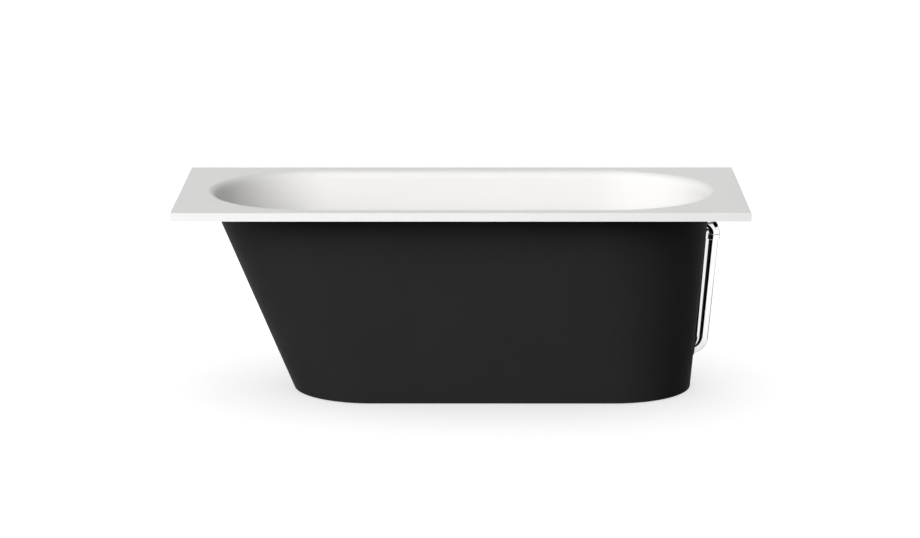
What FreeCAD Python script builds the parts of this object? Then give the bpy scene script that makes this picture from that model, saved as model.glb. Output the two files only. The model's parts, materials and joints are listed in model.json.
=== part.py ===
import FreeCAD, Part
import math
import os
import re
import Sketcher
from FreeCAD import Placement, Rotation, Vector

# Built-in bathtub: a white shell with a square flat rim and a long oval bowl, carried on a board,
# two cross rails and four screw feet, inside a dark oval casing. The pop-up waste in the floor is
# worked by a knob on the overflow, through a cable in the chrome pipe on the end of the casing.
# X runs along the tub from the head end to the tap end, Y from front to back, Z up from the floor.

# Driving sizes in millimetres and degrees.
SIZES = {
    # Rim
    "rim_length": 1700,
    "rim_width": 750,
    "rim_height": 610,
    "rim_depth": 25,
    "rim_edge_rounding": 1.5,
    "shell_wall": 6,
    "opening_rounding": 28,
    # Casing: how far its top stands in from the rim's edges, and how far it draws in down to its base
    "head_margin": 92.4,
    "tap_margin": 95.7,
    "side_margin": 59,
    "head_draw": 244.6,
    "tap_draw": 52.3,
    "side_draw": 73,
    "casing_wall": 4,
    "casing_lift": 2,
    "casing_overlap": 12,
    # Space between the casing and the shell
    "head_gap": 7,
    "tap_gap": 3.3,
    "side_gap": 3,
    # Bowl
    "floor_rounding": 80,
    # Rim boards
    "board_clearance": 0.3,
    "board_setback": 1,
    # Base board and rails
    "base_thick": 25,
    "base_side_inset": 101,
    "base_head_inset": 136,
    "base_waste_gap": 61,
    "rail_section": 30,
    "rail_wall": 2,
    "rail_end_gap": 47,
    "rail_head_inset": 80,
    "rail_trap_gap": 45,
    "rail_cap_thick": 3,
    # Screw feet
    "foot_inset": 30,
    "foot_radius": 25,
    "foot_base_thick": 5,
    "foot_height": 16,
    "foot_socket_floor": 8,
    "foot_neck_radius": 11,
    "stud_radius": 5,
    "stud_clearance": 0.3,
    "stud_above": 16,
    "thread_clearance": 0.05,
    "nut_corner": 9.8,
    "weld_nut_height": 8,
    "lock_nut_height": 6,
    "wrench_corner": 7.5,
    "wrench_height": 8,
    "wrench_gap": 8,
    # Screws
    "rail_screw_radius": 2.5,
    "rail_screw_head": 5,
    "rail_screw_bite": 18,
    "rail_screw_inset": 60,
    "casing_screw_radius": 1.9,
    "casing_screw_head": 3.6,
    "casing_screw_bite": 13,
    "casing_screw_end_gap": 18,
    "screw_head_height": 2.5,
    "screw_clearance": 0.1,
    # Waste
    "drain_inset": 172,
    "waste_recess": 3,
    "waste_seal_thick": 1,
    "waste_flange_radius": 36.5,
    "waste_flange_rise": 1,
    "waste_seat_radius": 29,
    "waste_seat_drop": 0.5,
    "waste_barrel_radius": 24,
    "waste_barrel_wall": 3,
    "waste_barrel_length": 32,
    "waste_hole_clearance": 1,
    "waste_body_seal": 3,
    "waste_body_flange": 39,
    "waste_body_flange_thick": 6,
    "waste_cup_radius": 28,
    "waste_cup_wall": 3,
    "waste_headroom": 28,
    "waste_neck_drop": 20,
    "spider_height": 6,
    "spider_arm": 3,
    "spider_boss": 7,
    "spider_lift": 2,
    # Plug
    "plug_radius": 30.5,
    "plug_edge": 1.6,
    "plug_dome": 3.4,
    "plug_shoulder": 20,
    "plug_shoulder_rise": 2.6,
    "plug_seal_thick": 1.7,
    "plug_seal_radius": 27.5,
    "plug_seal_bore": 22,
    "stem_radius": 4,
    "stem_clearance": 0.1,
    "stem_tip_radius": 1.5,
    "stem_tip_length": 6,
    # Lift lever
    "lift_arm": 16,
    "lift_swing": 18,
    "lift_tip": 3,
    "arm_half": 2,
    "lift_gap": 0.3,
    "lever_hub": 5,
    "lever_thick": 5,
    "arm_tip": 2.5,
    "lever_pin_radius": 2,
    "lever_pin_clearance": 0.05,
    "lever_pin_bite": 1.5,
    "fork_pin_radius": 1.5,
    "fork_clearance": 0.4,
    "fork_width": 8,
    "fork_height": 13,
    "fork_thick": 3,
    "fork_slot_height": 7,
    "rod_radius": 1.2,
    "rod_length": 18,
    # Overflow pipe
    "pipe_radius": 20,
    "pipe_wall": 2,
    "pipe_gap": 0.5,
    "pipe_bend": 37,
    "pipe_clearance": 0.2,
    "pipe_passage": 2,
    "grommet_flange": 5,
    "grommet_lip": 1.5,
    "grommet_fit": 0.1,
    "inlet_start": 36,
    "inlet_length": 26,
    "inlet_wall": 3.8,
    "inlet_floor_gap": 6,
    "inlet_bore": 17,
    "joint_seal_thick": 2,
    "joint_lip": 2,
    "joint_gap": 0.5,
    "joint_nut_wall": 3.5,
    "inlet_nut_grip": 14,
    # Overflow fitting
    "overflow_drop": 106,
    "seat_cut_inside": 0.3,
    "seat_cut_outside": 1.7,
    "overflow_seal_thick": 2,
    "overflow_hole_radius": 20,
    "overflow_seal_radius": 28,
    "overflow_plate_radius": 33,
    "overflow_plate_thick": 3,
    "barrel_radius": 18.5,
    "barrel_bore": 16,
    "barrel_step_bore": 14.5,
    "barrel_step_depth": 4.5,
    "barrel_reach": 8,
    "barrel_clearance": 0.2,
    "elbow_radius": 22,
    "elbow_flange_thick": 3,
    "elbow_bend": 25,
    "elbow_leg": 14,
    "elbow_socket": 12,
    "collar_wall": 2,
    "collar_chamfer": 1.5,
    "hub_length": 10,
    "hub_wall": 2.4,
    "hub_boss": 7,
    "hub_boss_length": 18,
    "hub_clearance": 0.1,
    "casing_hole_clearance": 3,
    # Knob
    "knob_radius": 32,
    "knob_wall": 2,
    "knob_depth": 19,
    "knob_stand_off": 6.5,
    "knob_boss": 9,
    "knob_boss_depth": 11,
    "knob_socket": 9,
    "grip_length": 50,
    "grip_width": 9,
    "grip_height": 6,
    "spindle_radius": 4,
    "drum_radius": 4.4,
    "drum_width": 6,
    "drum_flange": 6.5,
    "drum_flange_thick": 1,
    # Cable
    "wire_radius": 0.9,
    "wire_clearance": 0.2,
    "sheath_radius": 2.5,
    "ferrule_radius": 3.2,
    "ferrule_length": 16,
    "ferrule_bore": 1.5,
    "ferrule_clearance": 0.1,
    "ferrule_lug": 6,
    "lug_half": 5.5,
    "wire_free": 8,
    # Trap
    "trap_radius": 20,
    "trap_wall": 2.5,
    "trap_bend": 30,
    "trap_floor_gap": 4,
    "trap_rise": 20,
    "trap_outlet_end": 12,
    "trap_socket": 14,
    "trap_shoulder": 2,
    "trap_socket_wall": 3,
    "trap_collar": 3,
    "trap_collar_thick": 3.6,
    "trap_seal_thick": 1.4,
    "spigot_wall": 3.5,
    "spigot_length": 22,
    "trap_nut_wall": 5.3,
    "trap_nut_grip": 12,
    "trap_nut_lip": 3,
    "trap_nut_room": 1,
}

# Places that follow from the driving sizes, each worked out from those above it.
PLACES = {
    # Heights from the floor up: trap, waste and then the bowl's floor
    "trap_low": "trap_floor_gap + trap_radius + trap_bend",
    "trap_inlet": "trap_low + trap_nut_room + trap_nut_lip + trap_collar_thick",
    "spigot_end": "trap_inlet + trap_seal_thick",
    "waste_cup_floor": "spigot_end + spigot_length + waste_cup_wall",
    "inlet_radius": "pipe_radius + pipe_clearance + inlet_wall",
    "waste_inlet_height": "waste_cup_floor + inlet_floor_gap + inlet_radius",
    "bowl_floor": "waste_inlet_height + inlet_radius + waste_headroom",
    # Casing
    "casing_top": "rim_height - rim_depth",
    "casing_tall": "casing_top - casing_lift",
    "casing_head_top": "rim_length / 2 - head_margin",
    "casing_tap_top": "rim_length / 2 - tap_margin",
    "casing_half_top": "rim_width / 2 - side_margin",
    "casing_head_base": "casing_head_top - head_draw",
    "casing_tap_base": "casing_tap_top - tap_draw",
    "casing_half_base": "casing_half_top - side_draw",
    "head_lean": "head_draw / casing_tall",
    "tap_lean": "tap_draw / casing_tall",
    "side_lean": "side_draw / casing_tall",
    "end_slope": "atan(tap_lean) / 1 deg",
    "slope_cos": "cos(end_slope)",
    "slope_sin": "sin(end_slope)",
    # Bowl outline at the rim's top and at the floor, parallel to the casing
    "head_spacing": "casing_wall + head_gap + shell_wall",
    "tap_spacing": "casing_wall + tap_gap + shell_wall",
    "side_spacing": "casing_wall + side_gap + shell_wall",
    "bowl_head_top": "casing_head_top + head_lean * rim_depth - head_spacing",
    "bowl_tap_top": "casing_tap_top + tap_lean * rim_depth - tap_spacing",
    "bowl_half_top": "casing_half_top + side_lean * rim_depth - side_spacing",
    "bowl_rise": "bowl_floor - casing_lift",
    "bowl_head_floor": "casing_head_base + head_lean * bowl_rise - head_spacing",
    "bowl_tap_floor": "casing_tap_base + tap_lean * bowl_rise - tap_spacing",
    "bowl_half_floor": "casing_half_base + side_lean * bowl_rise - side_spacing",
    "shell_under": "bowl_floor - shell_wall",
    "shell_head_under": "bowl_head_floor - head_lean * shell_wall + shell_wall",
    "shell_tap_under": "bowl_tap_floor - tap_lean * shell_wall + shell_wall",
    "shell_half_under": "bowl_half_floor - side_lean * shell_wall + shell_wall",
    "under_rim": "rim_height - shell_wall",
    "under_rounding": "opening_rounding - shell_wall",
    # Inner edges of the rim boards
    "board_half_inner": "bowl_half_top + shell_wall + under_rounding + board_setback",
    "board_tap_inner": "bowl_tap_top + shell_wall + under_rounding + board_setback",
    "board_head_inner": "bowl_head_top + shell_wall + under_rounding + board_setback",
    "board_outer_x": "rim_length / 2 - shell_wall - board_clearance",
    "board_outer_y": "rim_width / 2 - shell_wall - board_clearance",
    "screw_line": "board_half_inner + casing_overlap / 2",
    "screw_reach": "casing_tap_top - casing_half_top - casing_screw_end_gap",
    # Base board, rails and feet
    "drain_x": "casing_tap_base - drain_inset",
    "base_under": "shell_under - base_thick",
    "base_half_width": "bowl_half_floor - base_side_inset",
    "base_head": "bowl_head_floor - base_head_inset",
    "base_tap": "drain_x - waste_body_flange - base_waste_gap",
    "rail_under": "base_under - rail_section",
    "rail_head": "base_head - rail_head_inset",
    "trap_out_x": "drain_x - 4 * trap_bend",
    "rail_tap": "trap_out_x - trap_radius - rail_trap_gap - rail_section / 2",
    "casing_half_inside": "casing_half_base + side_lean * (rail_under - casing_lift) - casing_wall",
    "rail_half_length": "casing_half_inside - rail_end_gap",
    "rail_screw_line": "base_half_width - rail_screw_inset",
    "foot_half_span": "rail_half_length - foot_inset",
    "wrench_base": "foot_height + wrench_gap",
    "stud_top": "base_under + stud_above",
    # Waste
    "waste_seat": "bowl_floor - waste_recess",
    "flange_under": "waste_seat + waste_seal_thick",
    "flange_top": "bowl_floor + waste_flange_rise",
    "plug_seat": "bowl_floor - waste_seat_drop",
    "plug_under": "plug_seat + plug_seal_thick",
    "barrel_end": "bowl_floor - waste_barrel_length",
    "body_top": "shell_under - waste_body_seal",
    "waste_cup_outer": "waste_cup_radius + waste_cup_wall",
    "spigot_radius": "trap_radius + spigot_wall",
    "spider_base": "barrel_end + spider_lift",
    # Lever and rod: the drum's quarter turn gives the cable the travel of the lever's full swing
    "cable_side": "drum_radius + wire_radius + wire_clearance",
    "lever_reach": "cable_side * pi / 4 / sin(lift_swing)",
    "lever_x": "drain_x + lift_arm * (1 + cos(lift_swing)) / 2",
    "lever_z": "waste_inlet_height - lever_reach",
    "stem_end": "lever_z - lift_arm * sin(lift_swing) + lift_tip + lift_gap",
    "fork_x": "lever_x - lever_reach * sin(lift_swing)",
    "pin_half": "sqrt(waste_cup_radius ^ 2 - (lever_x - drain_x) ^ 2) + lever_pin_bite",
    "fork_near": "cable_side - fork_thick / 2",
    # Overflow fitting: its axis is square to the end wall, which leans with the casing
    "overflow_height": "rim_height - overflow_drop",
    "wall_x": "casing_tap_base + tap_lean * (overflow_height - casing_lift) - tap_spacing",
    "seat_out": "shell_wall * slope_cos - seat_cut_outside",
    "seat_in": "seat_cut_inside - seat_out",
    "overflow_x": "wall_x + seat_out * slope_cos",
    "overflow_z": "overflow_height - seat_out * slope_sin",
    "casing_face": "tap_spacing * slope_cos - seat_out",
    "pipe_out": "casing_face + pipe_gap + pipe_radius",
    "plate_back": "seat_in - overflow_seal_thick",
    "plate_front": "plate_back - overflow_plate_thick",
    "knob_back": "plate_front - knob_stand_off",
    "knob_front": "knob_back - knob_depth",
    "knob_inner": "knob_front + knob_wall",
    "elbow_bore": "barrel_radius + barrel_clearance",
    "leg_top": "-elbow_bend",
    "leg_end": "leg_top - elbow_leg",
    "pipe_end_up": "leg_end + elbow_socket",
    "collar_low": "leg_end - joint_seal_thick - joint_lip",
    "collar_bore": "elbow_radius + pipe_clearance",
    "collar_radius": "collar_bore + collar_wall",
    # Overflow pipe: level run into the waste, one bend, then up beside the casing
    "pipe_top_x": "overflow_x + pipe_out * slope_cos + pipe_end_up * slope_sin",
    "pipe_top_z": "overflow_z - pipe_out * slope_sin + pipe_end_up * slope_cos",
    "bend_z": "waste_inlet_height + pipe_bend",
    "bend_x": "pipe_top_x + ((bend_z - pipe_top_z) * slope_sin - pipe_bend) / slope_cos",
    "inlet_x": "drain_x + inlet_start",
    "inlet_end": "inlet_x + inlet_length",
    # Cable ends
    "ferrule_up_low": "-wire_free - ferrule_length",
    "ferrule_low_x": "inlet_x - ferrule_length / 2",
    "cable_low_x": "ferrule_low_x + ferrule_length",
    "cable_top_x": "overflow_x + pipe_out * slope_cos + ferrule_up_low * slope_sin",
    "cable_top_z": "overflow_z - pipe_out * slope_sin + ferrule_up_low * slope_cos",
    # Trap
    "trap_mid_x": "drain_x - 2 * trap_bend",
    "trap_high": "trap_low + trap_rise",
    "trap_mid_end": "trap_high - trap_shoulder",
    "trap_socket_low": "trap_mid_end - trap_socket",
    "trap_socket_radius": "trap_radius + pipe_clearance + trap_socket_wall",
}

doc = FreeCAD.newDocument("bathtub")


def fill_sheet(name, cells):
    """A sheet with one alias for each named value."""
    sheet = doc.addObject("Spreadsheet::Sheet", name)
    for row, (alias, text) in enumerate(cells.items(), 1):
        sheet.set(f"A{row}", alias)
        sheet.set(f"B{row}", text)
        sheet.setAlias(f"B{row}", alias)
    doc.recompute()
    return sheet


def bound(text):
    """The text with each named value written as its cell in a sheet."""
    def cell(match):
        word = match.group(0)
        if word in SIZES:
            return f"Sizes.{word}"
        if word in PLACES:
            return f"Places.{word}"
        return word
    return re.sub(r"[a-z][a-z_]*", cell, text)


sizes = fill_sheet("Sizes", {name: str(number) for name, number in SIZES.items()})
places = fill_sheet("Places", {name: "=" + bound(text) for name, text in PLACES.items()})


def value(text):
    """The number that the text stands for now."""
    return float(sizes.evalExpression(bound(text)))


def bind(thing, field, text):
    thing.setExpression(field, bound(text))


def put(thing, base, turn=None):
    """Binds a place, and a turn about an axis, to the named values."""
    if turn:
        axis, angle = turn
        thing.Placement = Placement(Vector(0, 0, 0), Rotation(axis, value(angle)))
        bind(thing, "Placement.Rotation.Angle", angle)
    for letter, text in zip("xyz", base):
        bind(thing, f"Placement.Base.{letter}", text)


X_AXIS = Vector(1, 0, 0)
Y_AXIS = Vector(0, 1, 0)
Z_AXIS = Vector(0, 0, 1)
MIDDLE = ("0", "0", "0")
AT_DRAIN = ("drain_x", "0", "0")
AT_OVERFLOW = ("overflow_x", "0", "overflow_z")
# Turned pieces of the overflow have their own Z along its axis, pointing out through the wall.
OUT_OF_WALL = (Y_AXIS, "90 + end_slope")
WITH_WALL = (Y_AXIS, "end_slope")
# Directions of a round bar
ALONG_X = (Y_AXIS, "90")
ALONG_Y = (X_AXIS, "-90")

pieces = []


def keep(piece, label):
    """Names a finished piece as one to write."""
    piece.Label = label
    pieces.append(piece)
    return piece


def add_body(name):
    return doc.addObject("PartDesign::Body", name)


def add_sketch(body, name, role, offset=MIDDLE):
    """A sketch on one of the body's own planes, moved by its offset."""
    sketch = body.newObject("Sketcher::SketchObject", name)
    plane = [feature for feature in body.Origin.OriginFeatures if feature.Role == role][0]
    sketch.AttachmentSupport = [(plane, "")]
    sketch.MapMode = "FlatFace"
    for letter, text in zip("xyz", offset):
        bind(sketch, f"AttachmentOffset.Base.{letter}", text)
    return sketch


def hold(sketch, kind, *items, text):
    """Adds a measured constraint bound to the named values."""
    index = sketch.addConstraint(Sketcher.Constraint(kind, *items, value(text)))
    bind(sketch, f"Constraints[{index}]", text)


def hold_point(sketch, line, end, across, up):
    """Fixes one end of a line by its distances from the sketch's origin."""
    for kind, axis, text in (("DistanceX", -2, across), ("DistanceY", -1, up)):
        if text == "0":
            sketch.addConstraint(Sketcher.Constraint("PointOnObject", line, end, axis))
        else:
            hold(sketch, kind, -1, 1, line, end, text=text)


def draw_polygon(sketch, points):
    """A closed outline with every corner bound."""
    spots = [Vector(value(across), value(up), 0) for across, up in points]
    lines = []
    for start, end in zip(spots, spots[1:] + spots[:1]):
        lines.append(sketch.addGeometry(Part.LineSegment(start, end), False))
    for line, following in zip(lines, lines[1:] + lines[:1]):
        sketch.addConstraint(Sketcher.Constraint("Coincident", line, 2, following, 1))
    for line, (across, up) in zip(lines, points):
        hold_point(sketch, line, 1, across, up)


def draw_box(sketch, left, right, low, high):
    draw_polygon(sketch, [(left, low), (right, low), (right, high), (left, high)])


def draw_circle(sketch, across, up, radius):
    spot = Vector(value(across), value(up), 0)
    circle = sketch.addGeometry(Part.Circle(spot, Z_AXIS, value(radius)), False)
    hold(sketch, "Radius", circle, text=radius)
    hold_point(sketch, circle, 3, across, up)


def draw_stadium(sketch, head, tap, half):
    """An oval of two straight sides and two half circles, from -head to +tap."""
    left = value(f"({half}) - ({head})")
    right = value(f"({tap}) - ({half})")
    wide = value(half)
    quarter = math.pi / 2
    back = sketch.addGeometry(Part.LineSegment(Vector(left, wide, 0), Vector(right, wide, 0)), False)
    tap_circle = Part.Circle(Vector(right, 0, 0), Z_AXIS, wide)
    tap_arc = sketch.addGeometry(Part.ArcOfCircle(tap_circle, -quarter, quarter), False)
    front = sketch.addGeometry(Part.LineSegment(Vector(right, -wide, 0), Vector(left, -wide, 0)), False)
    head_circle = Part.Circle(Vector(left, 0, 0), Z_AXIS, wide)
    head_arc = sketch.addGeometry(Part.ArcOfCircle(head_circle, quarter, 3 * quarter), False)
    sketch.addConstraint(Sketcher.Constraint("Tangent", back, 2, tap_arc, 2))
    sketch.addConstraint(Sketcher.Constraint("Tangent", tap_arc, 1, front, 1))
    sketch.addConstraint(Sketcher.Constraint("Tangent", front, 2, head_arc, 2))
    sketch.addConstraint(Sketcher.Constraint("Tangent", head_arc, 1, back, 1))
    sketch.addConstraint(Sketcher.Constraint("Horizontal", back))
    sketch.addConstraint(Sketcher.Constraint("Horizontal", front))
    sketch.addConstraint(Sketcher.Constraint("PointOnObject", head_arc, 3, -1))
    hold(sketch, "Radius", head_arc, text=half)
    hold(sketch, "DistanceX", -1, 1, head_arc, 3, text=f"({half}) - ({head})")
    hold(sketch, "DistanceX", -1, 1, tap_arc, 3, text=f"({tap}) - ({half})")


def stadium(body, name, height, head, tap, half):
    sketch = add_sketch(body, name, "XY_Plane", ("0", "0", height))
    draw_stadium(sketch, head, tap, half)
    return sketch


def loft(body, name, kind, top, base):
    """A ruled loft between two ovals."""
    feature = body.newObject(f"PartDesign::{kind}", name)
    feature.Profile = top
    feature.Sections = [base]
    feature.Ruled = True
    doc.recompute()
    return feature


def extrude(body, name, kind, sketch, length, reverse=False):
    """A pad or a pocket; a pocket that removes nothing stops the build."""
    before = body.Shape.Volume if kind == "Pocket" else 0
    feature = body.newObject(f"PartDesign::{kind}", name)
    feature.Profile = sketch
    bind(feature, "Length", length)
    feature.Reversed = reverse
    doc.recompute()
    if kind == "Pocket" and feature.Shape.Volume > before - 1:
        raise RuntimeError(f"{name} removes nothing")
    return feature


def round_edges(body, name, base, chosen, radius):
    """A fillet on the edges of the base that the test picks."""
    names = [f"Edge{index}" for index, edge in enumerate(base.Shape.Edges, 1) if chosen(edge)]
    feature = body.newObject("PartDesign::Fillet", name)
    feature.Base = (base, names)
    bind(feature, "Radius", radius)
    doc.recompute()
    return feature


def level_at(edge, height, tolerance=1e-4):
    box = edge.BoundBox
    return abs(box.ZMin - height) < tolerance and abs(box.ZMax - height) < tolerance


def inside_rim(edge):
    """Whether an edge belongs to the bowl and not to the rim's outline."""
    lip = value("rim_width / 2 - shell_wall - board_clearance")
    return max(abs(edge.BoundBox.YMin), abs(edge.BoundBox.YMax)) < lip


def turned(label, profile, base=MIDDLE, turn=None):
    """A turned piece: its profile of (radius, height) corners swung round its own Z."""
    body = add_body(label)
    sketch = add_sketch(body, f"{label}_profile", "XZ_Plane")
    draw_polygon(sketch, profile)
    spin = body.newObject("PartDesign::Revolution", f"{label}_turn")
    spin.Profile = sketch
    spin.ReferenceAxis = (sketch, ["V_Axis"])
    spin.Angle = 360
    put(body, base, turn)
    doc.recompute()
    return body


def ring(label, bore, rim, low, high, base=MIDDLE, turn=None):
    return turned(label, [(bore, low), (rim, low), (rim, high), (bore, high)], base, turn)


def block(name, low, high):
    """A box between two corners."""
    box = doc.addObject("Part::Box", name)
    for field, first, last in zip(("Length", "Width", "Height"), low, high):
        bind(box, field, f"({last}) - ({first})")
    put(box, low)
    return box


def rod(name, radius, length, base, turn=None):
    cylinder = doc.addObject("Part::Cylinder", name)
    bind(cylinder, "Radius", radius)
    bind(cylinder, "Height", length)
    put(cylinder, base, turn)
    return cylinder


def six_sided(name, corner, height, base):
    prism = doc.addObject("Part::Prism", name)
    prism.Polygon = 6
    bind(prism, "Circumradius", corner)
    bind(prism, "Height", height)
    put(prism, base)
    return prism


def fuse(name, solids):
    joined = doc.addObject("Part::MultiFuse", name)
    joined.Shapes = solids
    joined.Refine = True
    return joined


def cut(name, solid, tools):
    """The solid less one or more tools."""
    tool = tools[0] if len(tools) == 1 else fuse(f"{name}_tools", tools)
    result = doc.addObject("Part::Cut", name)
    result.Base = solid
    result.Tool = tool
    result.Refine = True
    doc.recompute()
    return result


def gather(name, solids):
    """Separate like pieces kept as one group."""
    group = doc.addObject("Part::Compound", name)
    group.Links = solids
    doc.recompute()
    return group


def on_overflow(out, side, up):
    """A point given along the overflow's axis, sideways and up the leaning wall."""
    across = f"overflow_x + ({out}) * slope_cos + ({up}) * slope_sin"
    height = f"overflow_z - ({out}) * slope_sin + ({up}) * slope_cos"
    return (across, side, height)


# Shell: rim with a folded lip and the bowl below it
tub_body = add_body("shell")
rim_sketch = add_sketch(tub_body, "rim_outline", "XY_Plane", ("0", "0", "casing_top"))
draw_box(rim_sketch, "-rim_length / 2", "rim_length / 2", "-rim_width / 2", "rim_width / 2")
rim_pad = extrude(tub_body, "rim_slab", "Pad", rim_sketch, "rim_depth")


def outer_rim_edge(edge):
    upright = edge.BoundBox.ZLength > value("rim_depth") - 1
    return upright or level_at(edge, value("rim_height"))


round_edges(tub_body, "rim_edges", rim_pad, outer_rim_edge, "rim_edge_rounding")
lip_x = "rim_length / 2 - shell_wall"
lip_y = "rim_width / 2 - shell_wall"
tray_sketch = add_sketch(tub_body, "lip_inside", "XY_Plane", ("0", "0", "casing_top"))
draw_box(tray_sketch, f"-({lip_x})", lip_x, f"-({lip_y})", lip_y)
extrude(tub_body, "lip_hollow", "Pocket", tray_sketch, "rim_depth - shell_wall", True)
bowl_out = loft(
    tub_body, "bowl_outside", "AdditiveLoft",
    stadium(tub_body, "bowl_outside_top", "rim_height - rim_edge_rounding",
            "bowl_head_top + shell_wall - head_lean * rim_edge_rounding",
            "bowl_tap_top + shell_wall - tap_lean * rim_edge_rounding",
            "bowl_half_top + shell_wall - side_lean * rim_edge_rounding"),
    stadium(tub_body, "bowl_outside_base", "shell_under",
            "shell_head_under", "shell_tap_under", "shell_half_under"))
bowl_round = round_edges(
    tub_body, "bowl_outside_round", bowl_out,
    lambda edge: level_at(edge, value("shell_under")), "floor_rounding + shell_wall")
round_edges(
    tub_body, "under_rim_round", bowl_round,
    lambda edge: level_at(edge, value("under_rim")) and inside_rim(edge), "under_rounding")

# The hollow of the bowl
hollow_body = add_body("bowl_hollow")
hollow_loft = loft(
    hollow_body, "hollow_loft", "AdditiveLoft",
    stadium(hollow_body, "hollow_top", "rim_height", "bowl_head_top", "bowl_tap_top", "bowl_half_top"),
    stadium(hollow_body, "hollow_base", "bowl_floor",
            "bowl_head_floor", "bowl_tap_floor", "bowl_half_floor"))
round_edges(
    hollow_body, "hollow_round", hollow_loft,
    lambda edge: level_at(edge, value("bowl_floor")), "floor_rounding")
open_shell = cut("open_shell", tub_body, [hollow_body])
soft_shell = doc.addObject("Part::Fillet", "soft_shell")
soft_shell.Base = open_shell
soft_shell.Edges = [
    (index, value("opening_rounding"), value("opening_rounding"))
    for index, edge in enumerate(open_shell.Shape.Edges, 1)
    if level_at(edge, value("rim_height")) and inside_rim(edge)
]
doc.recompute()

# Seats for the waste in the floor and for the overflow in the end wall
waste_hole = "waste_barrel_radius + waste_hole_clearance"
deep = "shell_wall * 4"
keep(cut("tub", soft_shell, [
    rod("waste_recess_cut", "waste_flange_radius + waste_hole_clearance", deep,
        ("drain_x", "0", "waste_seat")),
    rod("waste_hole_cut", waste_hole, deep, ("drain_x", "0", f"bowl_floor - {deep} / 2")),
    rod("overflow_hole_cut", "overflow_hole_radius", deep,
        on_overflow(f"-({deep}) / 2", "0", "0"), OUT_OF_WALL),
    rod("overflow_seat_inside", "overflow_plate_radius + waste_hole_clearance", deep,
        on_overflow(f"seat_in - {deep}", "0", "0"), OUT_OF_WALL),
    rod("overflow_seat_outside", "overflow_seal_radius + waste_hole_clearance", deep,
        AT_OVERFLOW, OUT_OF_WALL),
]), "tub")

# Boards under the rim, with a hole for each casing screw
screw_shares = ("-1", "-1 / 3", "1 / 3", "1")
screw_spots = [(f"screw_reach * ({share})", side) for side in (-1, 1) for share in screw_shares]
end_screw = {"head": "-board_head_inner - casing_overlap / 2",
             "tap": "board_tap_inner + casing_overlap / 2"}
screw_hole = "casing_screw_radius + screw_clearance"
for name, side in (("front", -1), ("back", 1)):
    edges = sorted((f"{side} * board_half_inner", f"{side} * board_outer_y"), key=value)
    board = block(f"board_{name}", ("-board_outer_x", edges[0], "casing_top"),
                  ("board_outer_x", edges[1], "under_rim"))
    holes = [rod(f"board_{name}_hole_{index}", screw_hole, "casing_screw_bite + screw_clearance",
                 (across, f"{side} * screw_line", "casing_top"))
             for index, (across, row) in enumerate(screw_spots) if row == side]
    keep(cut(f"rim_board_{name}", board, holes), f"rim_board_{name}")
for name, first, last in (("head", "-board_outer_x", "-board_head_inner"),
                          ("tap", "board_tap_inner", "board_outer_x")):
    board = block(f"board_{name}", (first, "board_clearance - board_half_inner", "casing_top"),
                  (last, "board_half_inner - board_clearance", "under_rim"))
    hole = rod(f"board_{name}_hole", screw_hole, "casing_screw_bite + screw_clearance",
               (end_screw[name], "0", "casing_top"))
    keep(cut(f"rim_board_{name}", board, [hole]), f"rim_board_{name}")

# Casing: oval skirt with a flange under the rim boards and openings for the overflow
casing_body = add_body("casing")
loft(casing_body, "casing_outside", "AdditiveLoft",
     stadium(casing_body, "casing_outside_top", "casing_top",
             "casing_head_top", "casing_tap_top", "casing_half_top"),
     stadium(casing_body, "casing_outside_base", "casing_lift",
             "casing_head_base", "casing_tap_base", "casing_half_base"))
flange_sketch = stadium(
    casing_body, "flange_outline", "casing_top - casing_wall",
    "board_head_inner + casing_overlap", "board_tap_inner + casing_overlap",
    "board_half_inner + casing_overlap")
extrude(casing_body, "flange", "Pad", flange_sketch, "casing_wall")
loft(casing_body, "casing_inside", "SubtractiveLoft",
     stadium(casing_body, "casing_inside_top", "casing_top", "casing_head_top - casing_wall",
             "casing_tap_top - casing_wall", "casing_half_top - casing_wall"),
     stadium(casing_body, "casing_inside_base", "casing_lift", "casing_head_base - casing_wall",
             "casing_tap_base - casing_wall", "casing_half_base - casing_wall"))


def draw_pipe_path(sketch, first_x, last_x, last_z):
    """The line of the overflow pipe: level from first_x, one bend, then up to its end."""
    low = value("waste_inlet_height")
    radius = value("pipe_bend")
    slope = math.radians(value("end_slope"))
    centre = Vector(value("bend_x"), value("bend_z"), 0)
    turn_start = Vector(centre.x, low, 0)
    turn_end = centre + Vector(math.cos(slope), -math.sin(slope), 0) * radius
    start = Vector(value(first_x), low, 0)
    end = Vector(value(last_x), value(last_z), 0)
    level = sketch.addGeometry(Part.LineSegment(start, turn_start), False)
    circle = Part.Circle(centre, Z_AXIS, radius)
    bend = sketch.addGeometry(Part.ArcOfCircle(circle, -math.pi / 2, -slope), False)
    upright = sketch.addGeometry(Part.LineSegment(turn_end, end), False)
    sketch.addConstraint(Sketcher.Constraint("Tangent", level, 2, bend, 1))
    sketch.addConstraint(Sketcher.Constraint("Tangent", bend, 2, upright, 1))
    sketch.addConstraint(Sketcher.Constraint("Horizontal", level))
    hold(sketch, "Radius", bend, text="pipe_bend")
    hold(sketch, "DistanceX", -1, 1, bend, 3, text="bend_x")
    hold_point(sketch, level, 1, first_x, "waste_inlet_height")
    hold_point(sketch, upright, 2, last_x, last_z)


def pipe_path(body, name, side, first_x, last_x, last_z):
    sketch = add_sketch(body, name, "XZ_Plane", ("0", "0", f"-({side})"))
    draw_pipe_path(sketch, first_x, last_x, last_z)
    return sketch


def pipe_section(body, name, side, first_x, radius):
    sketch = add_sketch(body, name, "YZ_Plane", ("0", "0", first_x))
    draw_circle(sketch, side, "waste_inlet_height", radius)
    return sketch


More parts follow.
